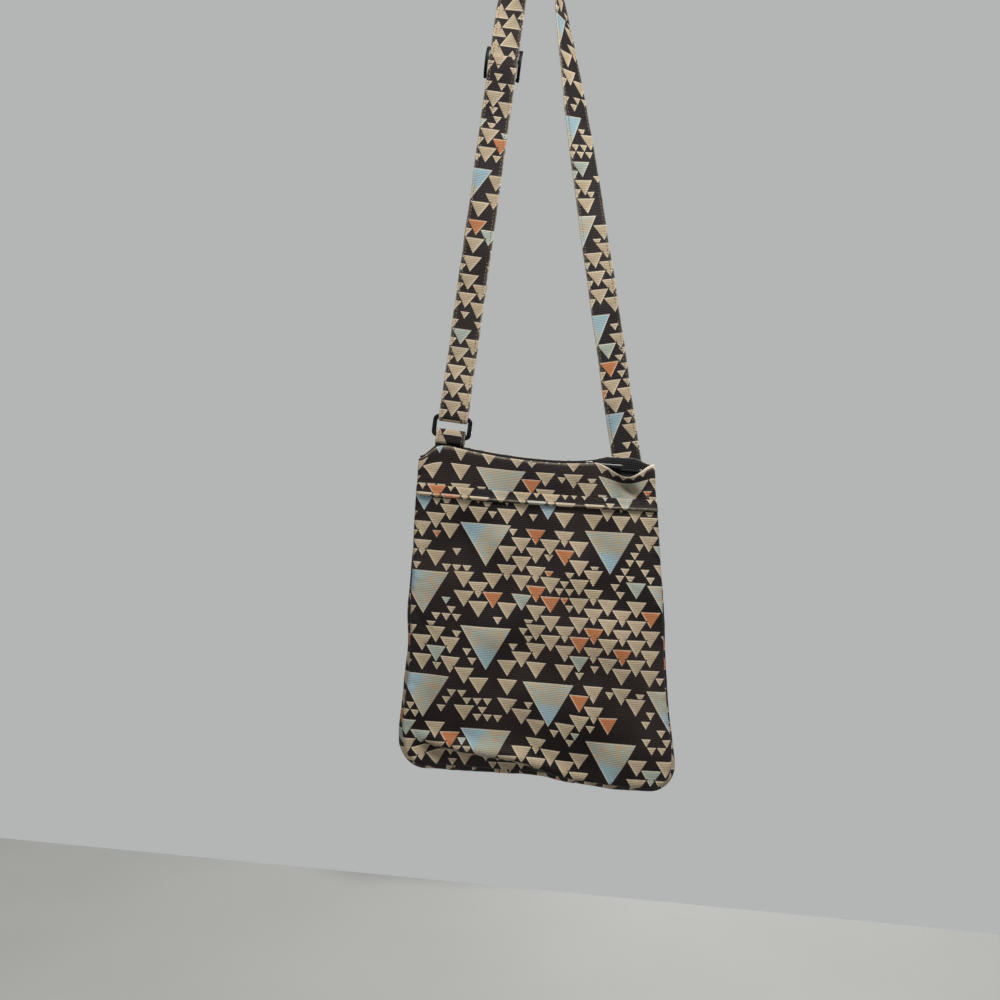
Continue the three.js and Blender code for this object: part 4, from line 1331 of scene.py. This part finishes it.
def print_cloth():
    """Ribbed printed cloth: pale along its edges, for rub wear and a painted highlight where the edges
    catch the light, and dark on its inside, where the mesh's wear-and-highlight value is negative.
    """
    tree = Tree("print_cloth")
    cloth_map = tree.add("UVMap")
    cloth_map.uv_map = "cloth"
    place = cloth_map.outputs[0]
    x, y = tree.add("SeparateXYZ", Vector=place).outputs[:2]
    jitter = tree.math("MULTIPLY_ADD", tree.noise(place, JITTER_SCALE), EDGE_JITTER, -EDGE_JITTER / 2)
    y = tree.math("ADD", y, jitter)
    faded = tree.scaled(tree.noise(place, FADE_SCALE, detail=3.0), *FADE_EDGE)
    tone = print_colour(tree, x, y, tree.mix(faded, CHARCOAL, FADED))
    rib = tree.math("SINE", tree.math("MULTIPLY", y, 2 * math.pi / RIB_PITCH))
    thread = tree.noise(place, THREAD_SCALE)
    cloud = tree.noise(place, CLOUD_SCALE)
    # Pale rims from the mesh attribute: rub wear and a painted highlight on lit edges; where it is
    # negative, the cloth's inside
    attribute = tree.add("Attribute")
    attribute.attribute_name = "wear_and_highlight"
    wear_and_highlight = attribute.outputs["Fac"]
    pale_share = tree.math("MULTIPLY", wear_and_highlight, tree.scaled(tree.noise(place, WEAR_AND_HIGHLIGHT_SCALE), *WEAR_AND_HIGHLIGHT_NOISE_EDGE))
    tone = tree.mix(tree.scaled(pale_share, *WEAR_AND_HIGHLIGHT_EDGE), tone, PALE_EDGE)
    tone = tree.mix(tree.scaled(wear_and_highlight, *FACING_EDGE), tone, FACING)
    shade = tree.math("MULTIPLY_ADD", rib, RIB_SHADE, tree.math("MULTIPLY_ADD", thread, *THREAD_SHADE))
    shade = tree.math("MULTIPLY", shade, tree.math("MULTIPLY_ADD", cloud, *CLOUD_SHADE))
    tint = tree.add("VectorMath")
    tint.operation = "SCALE"
    tree.put(tint.inputs[0], tone)
    tree.put(tint.inputs["Scale"], shade)
    height = tree.math("MULTIPLY_ADD", thread, THREAD_RELIEF, tree.math("MULTIPLY", rib, RIB_RELIEF))
    normal = tree.bump(height, PRINT_HEIGHT)
    return tree.surface(
        Base_Color=tint.outputs[0], Normal=normal, Roughness=0.60, Specular_IOR_Level=0.15,
    )


def woven(name, code, pitch, contrast=0.35):
    """Plain weave: fine threads across each other."""
    tree = Tree(name)
    place = tree.object_place()
    x, _, z = tree.add("SeparateXYZ", Vector=place).outputs
    threads = [tree.math("SINE", tree.math("MULTIPLY", value, 2 * math.pi / pitch)) for value in (x, z)]
    crossed = tree.math("MULTIPLY", *threads)
    shade = tree.math("MULTIPLY_ADD", crossed, CROSSING_SHADE, tree.noise(place, FUZZ_SCALE))
    dark = tuple(c * (1 - contrast) for c in colour(code)[:3]) + (1.0,)
    tone = tree.mix(shade, dark, code)
    normal = tree.bump(shade, WOVEN_HEIGHT)
    return tree.surface(
        Base_Color=tone, Normal=normal, Roughness=0.85, Specular_IOR_Level=0.25, Sheen_Weight=0.1,
    )


def metal(name, code, worn_code, metallic, roughness):
    """Satin metal with faint scuffs and a little wear."""
    tree = Tree(name)
    place = tree.object_place()
    scuffs = tree.noise(place, SCUFF_SCALE, detail=4.0)
    pale_share = tree.math("MULTIPLY", scuffs, tree.noise(place, METAL_WEAR_SCALE, detail=3.0))
    tone = tree.mix(tree.scaled(pale_share, *METAL_WEAR_EDGE), code, worn_code)
    rough = tree.math("MULTIPLY_ADD", scuffs, SCUFF_ROUGHNESS, roughness - SCUFF_POLISH)
    normal = tree.bump(scuffs, SCUFF_HEIGHT)
    return tree.surface(
        Base_Color=tone, Roughness=rough, Normal=normal, Metallic=metallic, Specular_IOR_Level=0.14,
    )


def floor_material():
    tree = Tree("floor")
    tone = tree.mix(tree.noise(tree.object_place(), FLOOR_SCALE, detail=3.0), FLOOR_DARK, FLOOR_LIGHT)
    return tree.surface(Base_Color=tone, Roughness=0.7)


# Putting it together
def attach(piece, body, node):
    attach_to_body(piece, body)
    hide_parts(node)


def attach_sheet(piece, slot, node, flat, *rests_on, held="hung"):
    attach(piece, "bag", node)


def add_bag(cloth, lining):
    flat = (BOTTOM_WIDTH, BAG_HEIGHT)
    pocket_flat = (BOTTOM_WIDTH, BAG_HEIGHT - POCKET_DROP)
    front = panel(
        "front_panel", front_point, cloth, FRONT_PRINT, rub_and_highlight=FRONT_RUB_AND_HIGHLIGHT, flank_rub_and_highlight=FLANK_RUB_AND_HIGHLIGHT,
    )
    back = panel("back_panel", back_point, cloth, BACK_PRINT, rub_and_highlight=BACK_RUB_AND_HIGHLIGHT)
    pocket = panel("pocket_panel", pocket_point, cloth, POCKET_PRINT, POCKET_TOP, hem=CLOTH)
    binding = pocket_binding(cloth)
    attach_sheet(front, "print_cloth", "front_panel", flat, "strap_main", "ring_tab")
    attach_sheet(back, "print_cloth", "back_panel", flat, "strap_main", "ring_tab")
    attach_sheet(pocket, "print_cloth", "pocket_panel", pocket_flat, "front_panel")
    attach_sheet(binding, "print_cloth", "pocket_binding", BINDING_FLAT, "pocket_panel", held="folded")
    attach_sheet(gusset(cloth), "print_cloth", "gusset", GUSSET_FLAT, "front_panel", "back_panel")
    for side, point_at in (("front", front_point), ("back", back_point)):
        node = "lining_" + side
        sheet = panel(
            node, point_at, lining, (0.0, 0.0), LINING_TOP, LINING_INSET, LINING_INWARD,
            thickness=LINING_THICKNESS, hem=LINING_THICKNESS,
        )
        attach_sheet(sheet, "lining_cloth", node, LINING_FLAT, "zip_tape_" + side)


def add_zip(tape, coil, pale):
    flat = (2 * (ZIP_HALF_LENGTH + TAPE_END), TAPE_WIDTH)
    for side, end in ((-1, "front"), (1, "back")):
        strip = zip_tape(side, f"zip_tape_{end}_cloth", tape)
        attach_sheet(strip, "zip_tape", f"zip_tape_{end}", flat, f"{end}_panel")
        attach(zip_teeth(side, f"zip_teeth_{end}", coil), "bag", f"zip_coil_{end}")
    for node in ("zip_top_stop_front", "zip_top_stop_back", "zip_bottom_stop"):
        attach(bevelled_copy(node, SMALL_BEVEL, pale), "bag", node)
    attach(bevelled_copy("zip_slider", SLIDER_BEVEL, pale), "zip_slider", "zip_slider")
    attach(bevelled_copy("zip_pull", SMALL_BEVEL, pale), "zip_pull", "zip_pull")


def add_strap(cloth, thread):
    main_strip = main_line()
    back = return_line()
    back_start = main_strip.run[-1]
    loop_start = back_start - LOOP_RISE - math.pi * abs(RING_Y) - LOOP_SLACK
    smooth_start = loop_start - (LEFT_LENGTH - RING_TOP_RISE) + SMOOTH_FROM
    fold_start = back_start + back.run[-1]
    strips = (
        ("strap_main", "bag", main_strip, 0.0, 51, 1.0),
        ("strap_return", None, back, back_start, 53, 1.0),
        ("strap_end_fold", "strap_slider", fold_line(), fold_start, 55, 0.0),
        ("ring_tab", "bag", tab_line(), TAB_PRINT, 57, 0.3),
    )
    for node, body, line, start, seed, wobble in strips:
        is_main = line is main_strip
        smooth_from = smooth_start if is_main else line.run[-1] + SMOOTH_FADE
        strip = strap_strip(node + "_cloth", line, cloth, start, seed, wobble, smooth_from)
        front_end = loop_start if is_main else line.run[-1]
        stitches = join_parts(node + "_stitches", strap_stitches(line, front_end), thread)
        for piece in (strip, stitches):
            if body:
                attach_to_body(piece, body)
            else:
                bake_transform(piece)
        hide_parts(node)


# Floor, world, camera and lights
def add_floor():
    left, right = np.array(FLOOR_EDGE)
    middle = (left + right) / 2
    ahead = unit(right - left)
    along = FLOOR_HALF_LENGTH * ahead
    near = FLOOR_DEPTH * np.array([ahead[1], -ahead[0]])
    corners = [middle - along, middle - along + near, middle + along + near, middle + along]
    points = np.array([(x, y, FLOOR_Z) for x, y in corners])
    floor = make_piece("floor", points, [(0, 1, 2, 3)], np.zeros((4, 2)), floor_material())


def set_world():
    """A soft light all round, with the plain backdrop's colour where it is seen or mirrored."""
    tree = Tree("world", bpy.data.worlds)
    bpy.context.scene.world = tree.owner
    rays = tree.add("LightPath").outputs
    seen = rays["Is Camera Ray"]
    for name in ("Is Glossy Ray", "Is Transmission Ray"):
        seen = tree.math("MAXIMUM", seen, rays[name])
    tree.fill(tree.nodes["Background"], Color=tree.mix(seen, WORLD_LIGHT, BACKGROUND))


def add_camera():
    data = bpy.data.cameras.new("camera")
    data.lens = CAMERA_LENS
    data.sensor_width = SENSOR_WIDTH
    camera = add_object("camera", data)
    camera.location = CAMERA_PLACE
    camera.rotation_euler = (math.pi / 2, 0, 0)
    bpy.context.scene.camera = camera


def add_area_light(name, place, target, size, power):
    data = bpy.data.lights.new(name, "AREA")
    data.shape = "DISK"
    data.size = size
    data.energy = power
    light = add_object(name, data)
    light.location = place
    toward = np.subtract(target, place)
    yaw = math.atan2(toward[0], -toward[1])
    tilt = math.atan2(math.hypot(toward[0], toward[1]), -toward[2])
    light.rotation_euler = (tilt, 0, yaw + math.pi)


def main():
    add_camera()
    cloth = print_cloth()
    add_strap(cloth, woven("thread", THREAD, pitch=0.0004))
    add_bag(cloth, woven("lining_cloth", LINING, pitch=0.0006))
    tape = woven("zip_tape", TAPE, pitch=0.0008)
    coil = woven("zip_coil", COIL, pitch=0.0009, contrast=0.3)
    add_zip(tape, coil, metal("pale_metal", *PALE_METAL, metallic=1.0, roughness=0.42))
    dark = metal("dark_metal", *DARK_METAL, metallic=0.0, roughness=0.46)
    attach(ring_piece(dark), "ring", "ring")
    attach(slider_piece(dark), "strap_slider", "strap_slider")
    add_floor()
    set_world()
    for name, values in LIGHTS.items():
        add_area_light(name, *values)
    bpy.context.scene.view_settings.view_transform = "Standard"


main()
